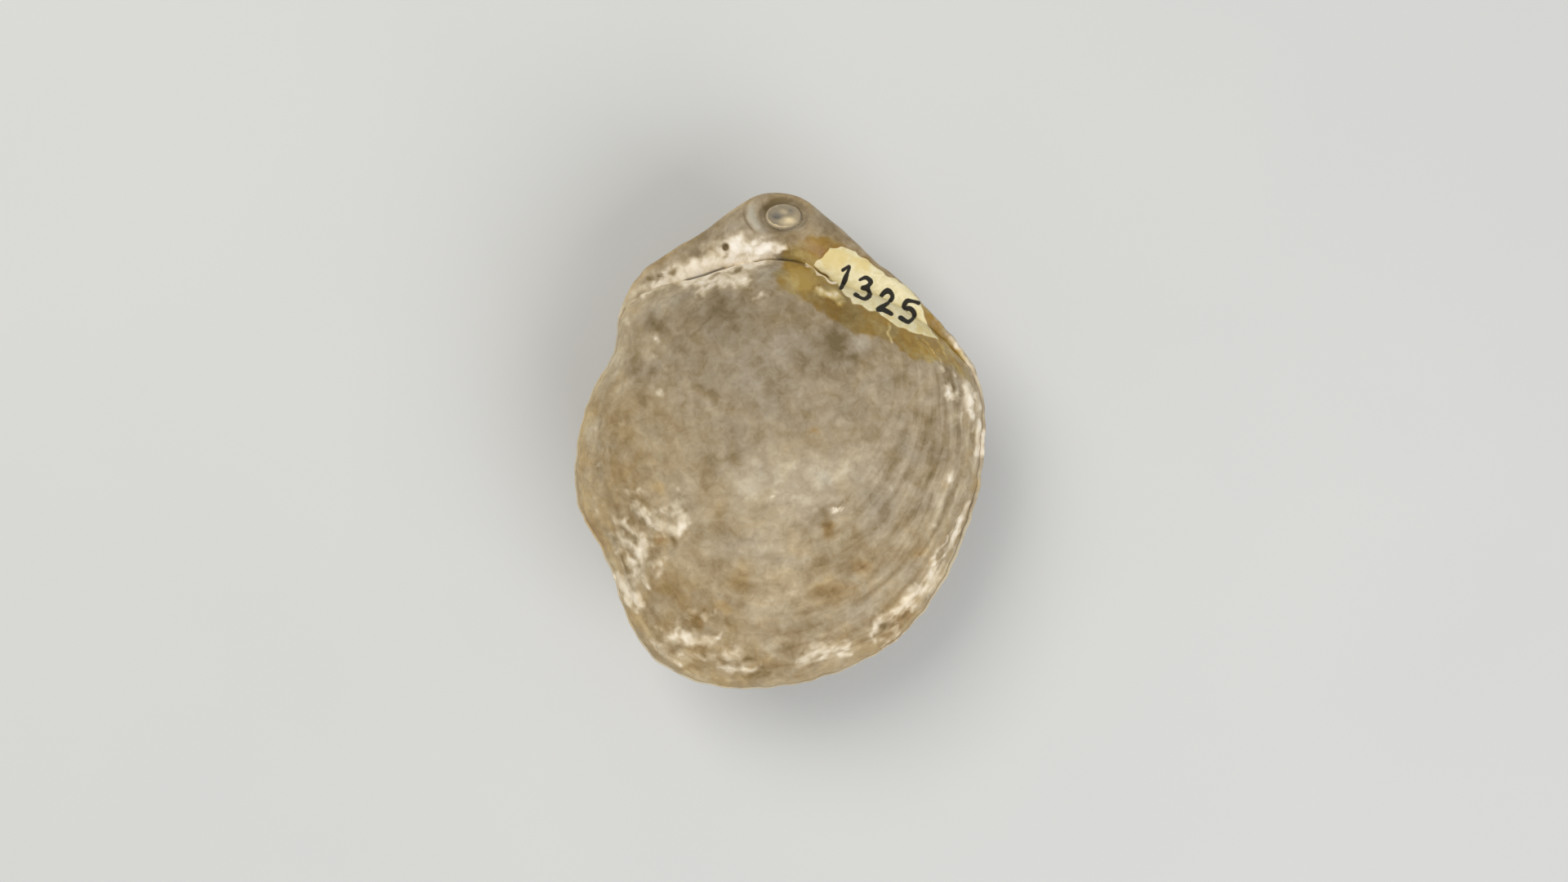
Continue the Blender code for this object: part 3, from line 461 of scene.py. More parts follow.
# Rusty and pinkish stains are above 0 and bluish grey ones below
WARMTH_SPOTS = (
    (-1.0, 5.0, 6.5, 4.4, 0, -0.95), (1.2, -2.2, 4.4, 1.8, 5, -0.4), (8.0, 1.0, 3.0, 3.5, 0, -0.3),
    (0.0, -9.5, 8.0, 4.0, 0, 0.3), (-9.8, -0.5, 3.2, 5.0, 0, 0.45), (-6.3, -9.4, 2.2, 1.3, -20, 0.4),
    (3.2, -9.3, 1.8, 0.6, 15, 0.4), (4.9, -7.6, 0.4, 0.4, 0, 0.9), (8.3, -6.8, 0.3, 0.2, 40, 1.0),
    (-7.2, -2.9, 0.5, 0.3, -40, 0.7), (-7.2, -5.9, 0.4, 0.3, 0, 1.4), (-3.4, -10.0, 0.6, 0.25, -25, 1.0),
    (-1.0, -9.6, 1.6, 0.8, 0, -0.4), (2.0, 0.6, 0.3, 0.2, 0, 1.5), (2.9, -5.2, 0.3, 0.5, 10, 1.4),
    (-4.9, -10.7, 0.5, 0.5, 0, 0.9), (7.4, -10.6, 1.4, 0.3, 45, 0.5), (-8.4, 9.9, 1.5, 0.3, 42, 0.6),
    (-5.6, 12.0, 2.2, 0.3, 30, 0.6), (1.7, 11.3, 1.1, 0.5, 0, 0.4), (-0.7, 10.3, 1.0, 0.6, 10, -0.9),
    (-6.4, 8.5, 1.8, 0.4, 25, -0.7), (-5.3, 11.2, 0.9, 0.3, 20, -0.3), (5.9, -4.0, 1.0, 1.2, 0, -0.6),
    (-2.8, 12.8, 1.0, 0.6, 20, -0.5), (-2.3, -6.6, 1.2, 0.6, 0, -0.6), (3.4, 3.4, 0.8, 0.7, 0, 0.3),
    (3.4, 5.8, 1.0, 1.3, 20, -1.2), (-3.3, 7.7, 1.5, 1.3, 0, -0.8), (-4.8, 12.1, 1.6, 0.5, 28, -0.6),
    (-11.3, -5.4, 0.5, 1.4, 25, 0.9), (-8.3, 8.1, 1.2, 0.6, 20, 0.6), (-3.5, -12.8, 4.0, 1.6, 0, 0.2),
    (6.5, -11.0, 1.8, 0.9, 42, 0.3), (3.1, 11.0, 0.9, 0.6, -20, 1.6), (11.8, -2.6, 0.2, 0.6, 0, 1.0),
    (-2.0, -2.9, 1.0, 0.8, 0, -0.4), (4.5, 5.6, 0.8, 0.7, 0, -0.4), (4.0, 0.7, 1.0, 1.0, 0, 0.35),
    (-0.3, -1.0, 1.2, 0.8, 0, 0.35), (5.4, 10.15, 2.2, 0.4, -33, 1.6), (-2.2, 11.2, 1.1, 0.6, 20, -0.8),
    (7.2, -10.0, 1.1, 0.9, 40, 0.4),
)

# Small relief that the photo shows: (half width, height, points), hollows below 0
RELIEF_STROKES = (
    (0.2, 0.12, ((-2.3, 10.3), (-1.8, 10.8), (-1.4, 11.2), (-0.9, 11.5), (0.4, 11.6))),
    (0.2, 0.04, ((-8.7, -4.0), (-8.2, -4.5), (-7.4, -5.1), (-6.3, -5.4), (-5.9, -5.0))),
    (0.35, 0.05, ((-9.5, -8.4), (-9.2, -9.1), (-8.5, -9.9))), (0.16, 0.06, ((3.1, -4.2), (3.8, -4.1))),
    (0.18, -0.08, ((2.9, -5.0), (2.9, -5.5))), (0.12, -0.05, ((3.5, -3.9), (4.3, -3.4))),
    (0.14, -0.05, ((-7.0, -4.6), (-6.6, -4.7))), (0.12, -0.06, ((-6.5, -6.0), (-6.3, -6.2))),
    (0.22, 0.14, ((-9.1, 8.35), (-8.45, 8.7), (-7.05, 9.22), (-5.9, 9.65))),
    (0.14, -0.1, ((6.2, -11.1), (6.4, -11.3))), (0.09, -0.1, ((11.5, 2.1), (11.5, 2.0))),
    (0.22, -0.06, ((-8.3, 9.55), (-8.1, 9.65))), (0.2, -0.06, ((-7.4, 9.9), (-7.1, 10.0))),
    (0.18, -0.05, ((-6.6, 10.1), (-6.4, 10.2))), (0.12, -0.06, ((-2.6, 10.2), (-2.3, 10.2))),
)

# A cream paint patch for the number, in a pool of amber varnish, across the hinge
PAINT_OUTLINE = (
    (2.98, 11.65), (4.16, 11.65), (4.66, 11.31), (5.49, 10.71), (6.43, 10.02), (7.32, 9.53), (7.96, 9.04),
    (8.3, 8.65), (8.5, 8.05), (8.79, 7.27), (9.19, 6.43), (9.43, 6.08), (8.84, 6.33), (8.15, 6.48),
    (7.27, 6.82), (6.63, 7.17), (5.94, 7.66), (5.05, 8.0), (4.36, 8.35), (3.97, 8.65), (3.67, 9.04),
    (3.47, 9.43), (2.98, 9.88), (2.34, 10.37), (2.09, 10.57), (2.24, 10.91), (2.64, 11.21),
)
VARNISH_OUTLINE = (
    (-0.17, 11.4), (0.81, 12.04), (1.7, 12.44), (2.68, 12.54), (3.67, 12.04), (4.75, 11.4), (6.63, 10.07),
    (8.2, 8.89), (9.58, 7.17), (11.06, 5.1), (11.65, 3.28), (10.86, 3.87), (9.68, 4.66), (8.89, 4.66),
    (7.71, 4.95), (6.63, 5.99), (4.66, 6.43), (3.23, 7.12), (1.65, 8.35), (-0.17, 9.14), (-0.37, 10.12),
    (0.22, 10.76),
)
DIGIT_HEIGHT = 1.36
DIGIT_WIDTH = 1.12
DIGIT_TURN = -14.0
# Distances from the middle of a pen stroke at which the ink ends and at which it is full
INK_EDGE = (0.168, 0.108)
PAINT_THICKNESS = 0.05
# Each digit's place, and its pen strokes as shares of its width and height
PEN_DIGITS = (
    ((3.87, 9.88), (((-0.16, 0.30), (0.10, 0.50), (0.07, 0.10), (-0.02, -0.50)),)),
    ((5.05, 9.19), (((-0.34, 0.34), (-0.04, 0.50), (0.26, 0.34), (0.10, 0.10), (-0.08, 0.05), (0.20, 0.02),
                     (0.38, -0.20), (0.14, -0.48), (-0.36, -0.38)),)),
    ((6.38, 8.40), (((-0.32, 0.24), (-0.06, 0.50), (0.26, 0.32), (0.10, -0.06), (-0.36, -0.44),
                     (-0.04, -0.40), (0.42, -0.50)),)),
    ((7.76, 7.81), (((0.38, 0.46), (0.05, 0.48), (-0.26, 0.42), (-0.32, 0.08), (0.04, 0.14), (0.34, -0.12),
                     (0.10, -0.48), (-0.38, -0.38)),)),
)
# Cracks along the hinge as (half width, strength, points); the dark grey painted along them is painted shade
# in the cracks
HINGE_CRACKS = (
    (0.05, 0.7, ((-5.8, 9.71), (-5.1, 9.86), (-4.36, 10.1), (-3.41, 10.46))),
    (0.04, 0.6, ((-0.1, 10.93), (0.47, 10.88), (1.06, 10.76), (1.55, 10.55))),
)


def spot_reach(x, y, spot):
    """How strongly an oval spot of (x, y, half length, half width, turn, strength) reaches points."""
    cx, cy, long, wide, turn, strength = spot
    c, s = math.cos(math.radians(turn)), math.sin(math.radians(turn))
    along, across = (x - cx) * c + (y - cy) * s, (y - cy) * c - (x - cx) * s
    return strength * np.exp(-0.9 * ((along / long) ** 2 + (across / wide) ** 2))


def strongest(x, y, spots, strokes, patches=()):
    """Strongest cover of points by soft spots, by strokes and by outlined patches."""
    cover = np.zeros(len(x))
    for strength, outline in patches:
        cover = np.maximum(cover, strength * np.clip(0.55 + depth_inside(x, y, outline) / 0.80, 0.0, 1.0))
    for spot in spots:
        cover = np.maximum(cover, spot_reach(x, y, spot))
    for half, strength, line in strokes:
        cover = np.maximum(cover, strength * ridge(line_distance(x, y, line), 0.0, 2.2 * half))
    return cover


def bent(line):
    """The smooth pen stroke through a few points."""
    p = np.array([line[0], *line, line[-1]])
    t = np.linspace(0.0, 1.0, 6, endpoint=False)[:, None]
    parts = [0.5 * (2 * b + (c - a) * t + (2 * a - 5 * b + 4 * c - d) * t**2 + (3 * b - a - 3 * c + d) * t**3)
             for a, b, c, d in zip(p, p[1:], p[2:], p[3:])]
    return np.concatenate((*parts, p[-1:]))


def pen_distance(x, y):
    """Distance of points from the middle of the nearest pen stroke, less where the nib pressed."""
    c, s = math.cos(math.radians(DIGIT_TURN)), math.sin(math.radians(DIGIT_TURN))
    nearest = np.full(len(x), -OUTSIDE)
    close = depth_inside(x, y, PAINT_OUTLINE) > -1.0
    for (cx, cy), strokes in PEN_DIGITS:
        for line in strokes:
            across, up = (bent(line) * (DIGIT_WIDTH, DIGIT_HEIGHT)).T
            placed = np.column_stack((cx + across * c - up * s, cy + across * s + up * c))
            nearest[close] = np.minimum(nearest[close], line_distance(x[close], y[close], placed))
    return nearest - 0.035 * np.sin(4.0 * x + 1.0) * np.sin(5.0 * y)


def wandering(x, y, reach):
    """Points moved a little this way and that, so that what is laid on them has a ragged edge."""
    return (x + reach * (np.sin(3.7 * x + 5.3 * y) + 0.6 * np.sin(9.1 * y - 4.3 * x + 1.7)),
            y + reach * (np.sin(5.9 * x - 3.1 * y + 0.8) + 0.6 * np.sin(8.3 * x + 7.7 * y + 2.9)))


def surface_facts(x, y, z, seen):
    """Numbers that place the coats and worn patches on points; seen is 1 where the photo looks."""
    raised = np.zeros(len(x))
    nearer = EYE_HEIGHT / (EYE_HEIGHT + SEAM_HEIGHT - z)
    x, y = x * nearer, y * nearer
    u, v = wandering(x, y, 0.07)
    for half, height, line in RELIEF_STROKES:
        raised += height * ridge(line_distance(u, v, line), 0.0, half)
    chalk = strongest(u, v, CHALK_SPOTS, CHALK_STROKES, CHALK_PATCHES)
    chalk -= sum(spot_reach(u, v, gap) for gap in CHALK_GAPS)
    paint = depth_inside(*wandering(x, y, 0.045), PAINT_OUTLINE)
    raised += PAINT_THICKNESS * np.clip(paint / 0.1 + 0.5, 0.0, 1.0)
    varnish = depth_inside(u, v, VARNISH_OUTLINE)
    return {
        "chalk": seen * np.clip(chalk, 0.0, None),
        "tone": seen * sum(spot_reach(u, v, spot) for spot in TONE_SPOTS),
        "warmth": seen * sum(spot_reach(u, v, spot) for spot in WARMTH_SPOTS),
        "paint": np.where(seen > 0.0, np.minimum(paint, 4.0 * (seen - 0.5)), OUTSIDE),
        "varnish": np.where(seen > 0.0, np.minimum(varnish, 4.0 * (seen - 0.4)), OUTSIDE),
        "ink": np.where(seen > 0.5, pen_distance(x, y), -OUTSIDE),
        "crack": seen * strongest(x, y, (), HINGE_CRACKS),
        "raised": seen * raised,
    }


def settled(facts, hidden):
    """The numbers that the finish and the relief read, for a valve's outer and hidden points."""
    off = {"paint": OUTSIDE, "varnish": OUTSIDE, "ink": -OUTSIDE}
    all_facts = {k: np.concatenate((v, np.full(hidden, off.get(k, 0.0)))) for k, v in facts.items()}
    growth, banding, warmth = all_facts["growth"], all_facts["banding"], all_facts["warmth"]
    # Lighter towards the edge: partly the edge's chalky wear, partly painted light that lifts the shade on
    # the steep margin
    lit_chalky_margin = 0.22 * smooth_rise(growth, 0.88, 1.0)
    kept = ("chalk", "paint", "varnish", "ink", "crack", "across", "along", "growth", "free")
    return {k: all_facts[k] for k in kept} | {
        "flaking": smooth_rise(all_facts["chalk"], 0.0, 0.6),
        "tone": 0.5 + 0.34 * all_facts["tone"] + lit_chalky_margin - 0.08 * all_facts["ledge_foot_shade"],
        "warmth": warmth + 0.4 * smooth_rise(growth, 0.84, 1.0),
        "yellowing": 0.08 * warmth,
        "streaks": 2.2 * banding,
        "bands": 1.3 * banding * smooth_rise(growth, 0.35, 0.80),
        "lines": all_facts["clearness"] * growth,
        "form": MM * (all_facts["ledge"] + all_facts["raised"]),
        "bare": 1.0 - np.clip(4.0 * all_facts["varnish"] + 0.5, 0.0, 1.0),
    }


def linear(hex_colour):
    """Linear RGBA of an sRGB hex colour."""
    parts = [int(hex_colour[i:i + 2], 16) / 255 for i in (1, 3, 5)]
    return [c / 12.92 if c <= 0.04045 else ((c + 0.055) / 1.055) ** 2.4 for c in parts] + [1.0]


def add(tree, kind, links=(), out=0, **settings):
    """Add a node with its settings and links, and give one of its outputs.

    A link is a value, a hex colour, another node's output, or a sum such as ("MULTIPLY", a, b).
    """
    made = tree.nodes.new(kind)
    for name, value in settings.items():
        setattr(made, name, value)
    for socket, value in dict(links).items():
        if isinstance(value, tuple) and isinstance(value[0], str):
            value = add(tree, "ShaderNodeMath", enumerate(value[1:]), operation=value[0])
        if isinstance(value, str) and value.startswith("#"):
            value = linear(value)
        if isinstance(value, bpy.types.NodeSocket):
            tree.links.new(value, made.inputs[socket])
        else:
            made.inputs[socket].default_value = value
    return made.outputs[out]


# The stone's grain at each size: millimetres, detail, roughness, distortion, start in metres
STONE_GRAIN = {
    "waving": (5.0, 2.0, 0.5, 0.0, 0.11),
    "cloudy": (3.4, 2.0, 0.5, 0.0, 0.0),
    "rusty": (2.2, 3.0, 0.6, 0.6, 0.047),
    "patchy": (1.25, 2.0, 0.5, 0.5, 0.013),
    "flaky": (0.60, 2.0, 0.45, 0.5, 0.0),
    "banded": (0.60, 2.0, 0.5, 0.3, 0.0),
    "fine": (0.46, 2.0, 0.55, 0.8, 0.029),
    "sandy": (0.15, 2.0, 0.6, 0.5, 0.02),
}
CHALK_COVER = (0.08, 1.25)  # strengths at which chalk starts to show, and at which it is closed
CHALK_FLAKING = 1.5         # how much the grain breaks up its edges


def stone_grain(tree, named, place):
    """One size of the stone's grain, as a number that swings up to half either way."""
    size, detail, rough, bend, start = STONE_GRAIN[named]
    moved = add(tree, "ShaderNodeVectorMath", {0: place, 1: (start, start, start)}, operation="ADD")
    noise = add(tree, "ShaderNodeTexNoise", {"Vector": moved, "Scale": 1.0 / (size * MM), "Detail": detail,
                                             "Roughness": rough, "Distortion": bend})
    return add(tree, "ShaderNodeMath", {0: noise, 1: 0.5}, operation="SUBTRACT")


def shell_finish(name, shift):
    """Weathered calcite: matt grey-brown with cloudy tan and pale mottling, like old bone.

    Chalk is what is left of the white outer layer, dry and dull. The varnish is a thin amber film
    that lets the mottling through and shines, the paint is thick cream, and the ink is black.
    """
    material = bpy.data.materials.new(name)
    material.use_nodes = True
    tree = material.node_tree
    shader = tree.nodes["Principled BSDF"]
    fact = {named: add(tree, "ShaderNodeAttribute", out="Fac", attribute_name=named)
            for named in ("chalk", "flaking", "tone", "warmth", "yellowing", "streaks", "bands",
                          "across", "along", "paint", "varnish", "ink", "crack")}
    place = add(tree, "ShaderNodeTexCoord", out="Object")
    grain = {named: stone_grain(tree, named, place)
             for named in ("cloudy", "rusty", "patchy", "flaky", "fine", "sandy")}
    grown = add(tree, "ShaderNodeCombineXYZ", {0: fact["along"], 1: fact["across"], 2: shift})
    grain["banded"] = stone_grain(tree, "banded", grown)

    mottling = ("MULTIPLY_ADD", grain["flaky"], CHALK_FLAKING, ("MULTIPLY", grain["patchy"], 1.1))
    mottling = ("MULTIPLY_ADD", grain["banded"], fact["streaks"], mottling)
    chalk = add(tree, "ShaderNodeMath", {0: mottling, 1: fact["flaking"], 2: fact["chalk"]},
                operation="MULTIPLY_ADD")
    warmth = add(tree, "ShaderNodeMath", {0: grain["rusty"], 1: 2.4, 2: fact["warmth"]},
                 operation="MULTIPLY_ADD")
    # How far each coat and tint covers: what it follows, where it starts, and where it is full
    reach = {}
    for coat, follows, start, full in (
            ("chalk", chalk, *CHALK_COVER),
            ("white", ("MULTIPLY_ADD", grain["patchy"], 1.6, chalk), 0.70, 1.75),
            ("cold white", warmth, 0.0, -0.8),
            ("straw", warmth, 0.0, 1.0),
            ("rust", warmth, 0.7, 2.0),
            ("blue", warmth, 0.2, -1.1),
            ("ivory", warmth, 0.0, 0.9),
            ("varnish", ("MULTIPLY_ADD", grain["flaky"], 0.55, fact["varnish"]), -0.12, 0.26),
            ("amber", ("MULTIPLY_ADD", grain["rusty"], 0.8, grain["patchy"]), -0.12, 0.12),
            ("paint", ("MULTIPLY_ADD", grain["flaky"], 0.121, fact["paint"]), -0.03, 0.04),
            ("pale paint", grain["fine"], -0.15, 0.15),
            ("old paint", ("ADD", grain["rusty"], fact["yellowing"]), 0.04, 0.22),
            ("ink", ("MULTIPLY_ADD", grain["flaky"], 0.11, fact["ink"]), *INK_EDGE),
            ("crack", fact["crack"], 0.20, 0.80)):
        reach[coat] = add(tree, "ShaderNodeMapRange", {"Value": follows, "From Min": start, "From Max": full},
                          interpolation_type="SMOOTHSTEP")
    unchalked = ("MULTIPLY_ADD", reach["white"], -0.85, 1.0)
    reach["varnish"] = add(tree, "ShaderNodeMath", {0: reach["varnish"], 1: unchalked}, operation="MULTIPLY")

    tone = ("MULTIPLY_ADD", grain["banded"], fact["bands"], fact["tone"])
    for named, amount in (("cloudy", 0.60), ("patchy", 0.85), ("fine", 0.60)):
        tone = ("MULTIPLY_ADD", grain[named], amount, tone)
    # Darker where the chalk thins out: painted shade in the gaps between the chalk flakes
    flake_gap_shade = ("MULTIPLY", fact["chalk"], ("SUBTRACT", 1.0, reach["chalk"]))
    colour = add(tree, "ShaderNodeValToRGB", {0: ("MULTIPLY_ADD", flake_gap_shade, -0.35, tone)})
    stops = colour.node.color_ramp.elements
    stops[0].color, stops[1].color = linear("#79663f"), linear("#cfc1a2")
    for position, hex_colour in ((0.25, "#927e5b"), (0.50, "#a69475"), (0.75, "#b9a889")):
        stops.new(position).color = linear(hex_colour)
    white, film, paint = (
        add(tree, "ShaderNodeMix", {0: reach[amount], 6: under, 7: over}, 2, data_type="RGBA")
        for amount, under, over in (("cold white", "#fcf2de", "#fff9ee"), ("amber", "#f5ecbc", "#dbc47c"),
                                    ("pale paint", "#e2d7a8", "#f0e6be")))
    cream = add(tree, "ShaderNodeMix", {0: ("MULTIPLY", reach["old paint"], 0.75), 6: paint, 7: "#e0ca82"},
                2, data_type="RGBA")
    # The coats and tints from the stone upwards, each with the most that it covers
    for coat, most, over, blend in (
            ("straw", 1.0, "#fff9e6", "MULTIPLY"),
            ("rust", 1.0, "#fff0df", "MULTIPLY"),
            ("blue", 1.0, "#ebf0fd", "MULTIPLY"),
            ("chalk", 0.92, "#dacbae", "MIX"),
            ("white", 0.95, white, "MIX"),
            ("ivory", 1.0, "#fffaf1", "MULTIPLY"),
            ("varnish", 1.0, film, "MULTIPLY"),
            ("paint", 0.97, cream, "MIX"),
            ("ink", 0.98, "#0d0b07", "MIX"),
            # painted shade: dark grey in the hinge cracks
            ("crack", 0.85, "#625c54", "MIX")):
        colour = add(tree, "ShaderNodeMix", {0: ("MULTIPLY", reach[coat], most), 6: colour, 7: over}, 2,
                     data_type="RGBA", blend_type=blend)
    tree.links.new(colour, shader.inputs["Base Color"])

    rough = 0.62
    for coat, its_own in (("varnish", 0.32), ("chalk", 0.85), ("paint", 0.55), ("ink", 0.85)):
        rough = add(tree, "ShaderNodeMix", {0: reach[coat], 2: rough, 3: its_own})
    tree.links.new(rough, shader.inputs["Roughness"])
    shader.inputs["IOR"].default_value = 1.55
    shader.inputs["Specular IOR Level"].default_value = 0.35
    grit = ("MULTIPLY_ADD", grain["fine"], 0.5, ("MULTIPLY_ADD", grain["sandy"], 0.45, 0.475))
    grit = ("MULTIPLY", grit, ("MULTIPLY_ADD", reach["paint"], -0.8, 1.0))
    bump = add(tree, "ShaderNodeBump", {"Height": ("MULTIPLY_ADD", reach["chalk"], 0.3, grit),
                                        "Strength": 0.5, "Distance": 0.035 * MM})
    tree.links.new(bump, shader.inputs["Normal"])
    return material


# Growth lines from the hinge to the edge, how far they waver, and the heights and spacing in metres
RELIEF_SIZES = {"Lines": 46.0, "Waver": 0.9, "Line Height": 0.018 * MM, "Flake Height": 0.04 * MM,
                "Pit Spacing": 1.3 * MM, "Pit Depth": 0.03 * MM, "Grain Height": 0.03 * MM}


def relief_tree():
    """Geometry nodes that raise growth lines and flakes and sink pits, square to the surface."""
    tree = bpy.data.node_groups.new("shell_relief", "GeometryNodeTree")
    tree.interface.new_socket("Geometry", in_out="INPUT", socket_type="NodeSocketGeometry")
    for named in RELIEF_SIZES:
        tree.interface.new_socket(named, in_out="INPUT", socket_type="NodeSocketFloat")
    tree.interface.new_socket("Finish", in_out="INPUT", socket_type="NodeSocketMaterial")
    tree.interface.new_socket("Geometry", in_out="OUTPUT", socket_type="NodeSocketGeometry")
    given = tree.nodes.new("NodeGroupInput").outputs
    end = tree.nodes.new("NodeGroupOutput")
    place = add(tree, "GeometryNodeInputPosition")
    fact = {named: add(tree, "GeometryNodeInputNamedAttribute", {"Name": named}, "Attribute",
                       data_type="FLOAT")
            for named in ("growth", "lines", "chalk", "flaking", "bare", "free", "form")}
    grain = {named: stone_grain(tree, named, place) for named in ("waving", "flaky", "patchy", "fine")}

    wander = ("MULTIPLY", ("MULTIPLY", grain["waving"], given["Waver"]), 4.0)
    along = add(tree, "ShaderNodeMath", {0: ("MULTIPLY", fact["growth"], given["Lines"]), 1: wander},
                operation="ADD")
    which = add(tree, "ShaderNodeTexWhiteNoise", {"W": ("FLOOR", along)}, "Value", noise_dimensions="1D")
    lines = ("MULTIPLY", ("MULTIPLY", ("POWER", ("FRACT", along), 3.0), which), given["Line Height"])
    mottling = ("MULTIPLY", ("MULTIPLY", grain["flaky"], CHALK_FLAKING), fact["flaking"])
    flakes = add(tree, "ShaderNodeMapRange",
                 {"Value": ("ADD", fact["chalk"], mottling), "From Min": CHALK_COVER[0],
                  "From Max": CHALK_COVER[1]}, interpolation_type="SMOOTHSTEP")
    cells = add(tree, "ShaderNodeTexVoronoi",
                {"Vector": place, "Scale": ("DIVIDE", 1.0, given["Pit Spacing"])}, "Distance")
    pits = add(tree, "ShaderNodeMapRange",
               {"Value": cells, "From Min": 0.04, "From Max": 0.17, "To Min": -1.0, "To Max": 0.0},
               interpolation_type="SMOOTHSTEP")
    pits = ("MULTIPLY", pits, given["Pit Depth"])
    grains = ("MULTIPLY", ("ADD", grain["patchy"], grain["fine"]), given["Grain Height"])
    height = ("MULTIPLY_ADD", ("ADD", pits, grains), fact["bare"], ("MULTIPLY", lines, fact["lines"]))
    height = ("MULTIPLY_ADD", flakes, given["Flake Height"], height)
    push = add(tree, "ShaderNodeVectorMath",
               {0: add(tree, "GeometryNodeInputNormal"),
                "Scale": ("MULTIPLY_ADD", height, fact["free"], fact["form"])}, operation="SCALE")
    moved = add(tree, "GeometryNodeSetPosition", {"Geometry": given["Geometry"], "Offset": push})
    real = add(tree, "GeometryNodeRealizeInstances", {"Geometry": moved})
    finished = add(tree, "GeometryNodeSetMaterial", {"Geometry": real, "Material": given["Finish"]})
    tree.links.new(finished, end.inputs[0])
    return tree


def relieved(thing, tree, finish):
    """Run the relief nodes on a piece and keep their result as its plain mesh."""
    modifier = thing.modifiers.new("relief", "NODES")
    modifier.node_group = tree
    values = {**RELIEF_SIZES, "Finish": finish}
    for item in tree.interface.items_tree:
        if item.in_out == "INPUT" and item.name in values:
            modifier[item.identifier] = values[item.name]
    graph = bpy.context.evaluated_depsgraph_get()
    baked = bpy.data.meshes.new_from_object(thing.evaluated_get(graph))
    thing.modifiers.clear()
    thing.data = baked
    baked.name = thing.name
    return thing


def hinge_opening(bearing):
    """1 where the hinge has cracked open, 0 where it is shut tight."""
    return sum(amount * np.clip((bearing - start) / OPENING_FADE, 0.0, 1.0)
               * np.clip((end - bearing) / OPENING_FADE, 0.0, 1.0) for start, end, amount in HINGE_OPENINGS)


def seam_gap(bearing):
    """Half of the gap between the valves' edges, in millimetres."""
    turned = np.mod(bearing, 360.0)
    all_round, by_hinge, cracked = GAP_SHARES
    share = all_round + by_hinge * nearness(turned, 90.0, 62.0) + cracked * hinge_opening(turned)
    return VALVE_GAP / 2 * share


def brachial_valve():
    """Dome over the seam, closed below by the hidden face on the filling."""
    share, bearing, quads, border = disc_net(NET_ROWS)
    spread = np.sin(share * math.pi / 2)
    exact, broad = reaches(BRACHIAL_TOP, lambda b: margin_radius(b) - 0.03 * hinge_opening(b), bearing)
    flat = np.array(BRACHIAL_TOP) + outline_points(spread * (broad + (exact - broad) * spread**3), bearing)
    x, y = flat[:, 0], flat[:, 1]
    power = DOME_POWER[0] + DOME_POWER[1] * np.sin(np.radians(bearing))
    height = seam_height(x, y) + BRACHIAL_RISE * np.clip(1.0 - spread**2, 0.0, 1.0) ** power
    height += lumps(x, y) * (1.0 - spread**6) + seam_gap(np.degrees(np.arctan2(y, x))) * spread**20
    points, under, fan = closed_face(np.column_stack((flat, height)), border, flat[border], VALVE_GAP)
    facts = surface_facts(x, y, height, np.ones(len(x)))
    facts.update(growth_facts(BRACHIAL_UMBO, margin_radius, x, y))
    facts["free"] = 1.0 - spread**60
    facts = settled(facts, len(points) - len(flat))
    return mesh_object("brachial_shell", points, np.concatenate((quads, under)), fan, facts)


relief = relief_tree()
upper = relieved(brachial_valve(), relief, shell_finish("brachial_calcite", 0.0))
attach(upper, "root")
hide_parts("brachial_valve")

# Pedicle valve
# The lower half of the shell: a deep calcite bowl that the fossil lies on, worn flat where it
# touches. Its back rises past the hinge into shoulders and a beak, pierced by the foramen.

PEDICLE_UMBO = (0.0, 12.0)
REST_CENTRE = (-0.1, 0.1)
REST_SHARE = 0.2
WEAR_FADE = 0.15
BOWL_POWER = (0.64, -0.12)  # roundness of the bowl across, and its change towards the beak
# The widest line's drop below the seam: everywhere, for each millimetre that the seam is set back
# there, and under the beak
WIDEST_DROP = (0.16, 0.10, 1.1)
BEAK_SPREAD = 17.0
# Steepness of the shoulders at their outer and inner end: everywhere, by that setback, by the beak
SHOULDER_OUT = (0.10, 0.33, 1.25)
SHOULDER_IN = (0.05, 0.12, 1.9)
SHOULDER_REACH = 0.35
SHOULDER_SPREAD = 15.0
FORAMEN_CENTRE = (0.20, 13.55, 10.0)
FORAMEN_TILT = 39.0
FORAMEN_DEPTH = 1.6
FUNNEL_RADIUS = 1.55
# The foramen's wall and funnel, as distance from its axis and height along it
FORAMEN_PROFILE = ((0.0, -FORAMEN_DEPTH), (1.08, -FORAMEN_DEPTH), (1.09, -0.26), (1.24, -0.2), (1.43, -0.1),
                   (FUNNEL_RADIUS, -0.02), (1.95, 0.1), (2.3, 0.12), (2.6, 0.45), (3.1, 1.6), (3.8, 6.0))
# Where its rim is higher or lower: height, radius, half width, direction and spread of that
RIM_LUMPS = ((0.12, 1.92, 0.25, 195.0, 50.0), (-0.16, 1.30, 0.16, 140.0, 55.0))
PIT = (-3.24, 11.53, 0.20)
PIT_DEPTH = 0.40
SEAM_GROOVE = 0.3
PROFILE_STEPS = 240
PROFILE_ROWS = 400
BEAK_CLOSENESS = 1.4        # how much closer together the net's rows lie on the beak


def widest_height(bearings):
    """Height of the lower valve's widest line, which dips under the beak."""
    drop, by_setback, by_beak = WIDEST_DROP
    return (SEAM_HEIGHT + around(SEAM_WAVE, bearings) - drop - by_setback * around(MARGIN_SETBACK, bearings)
            - by_beak * nearness(bearings, BEAK_BEARING, BEAK_SPREAD))


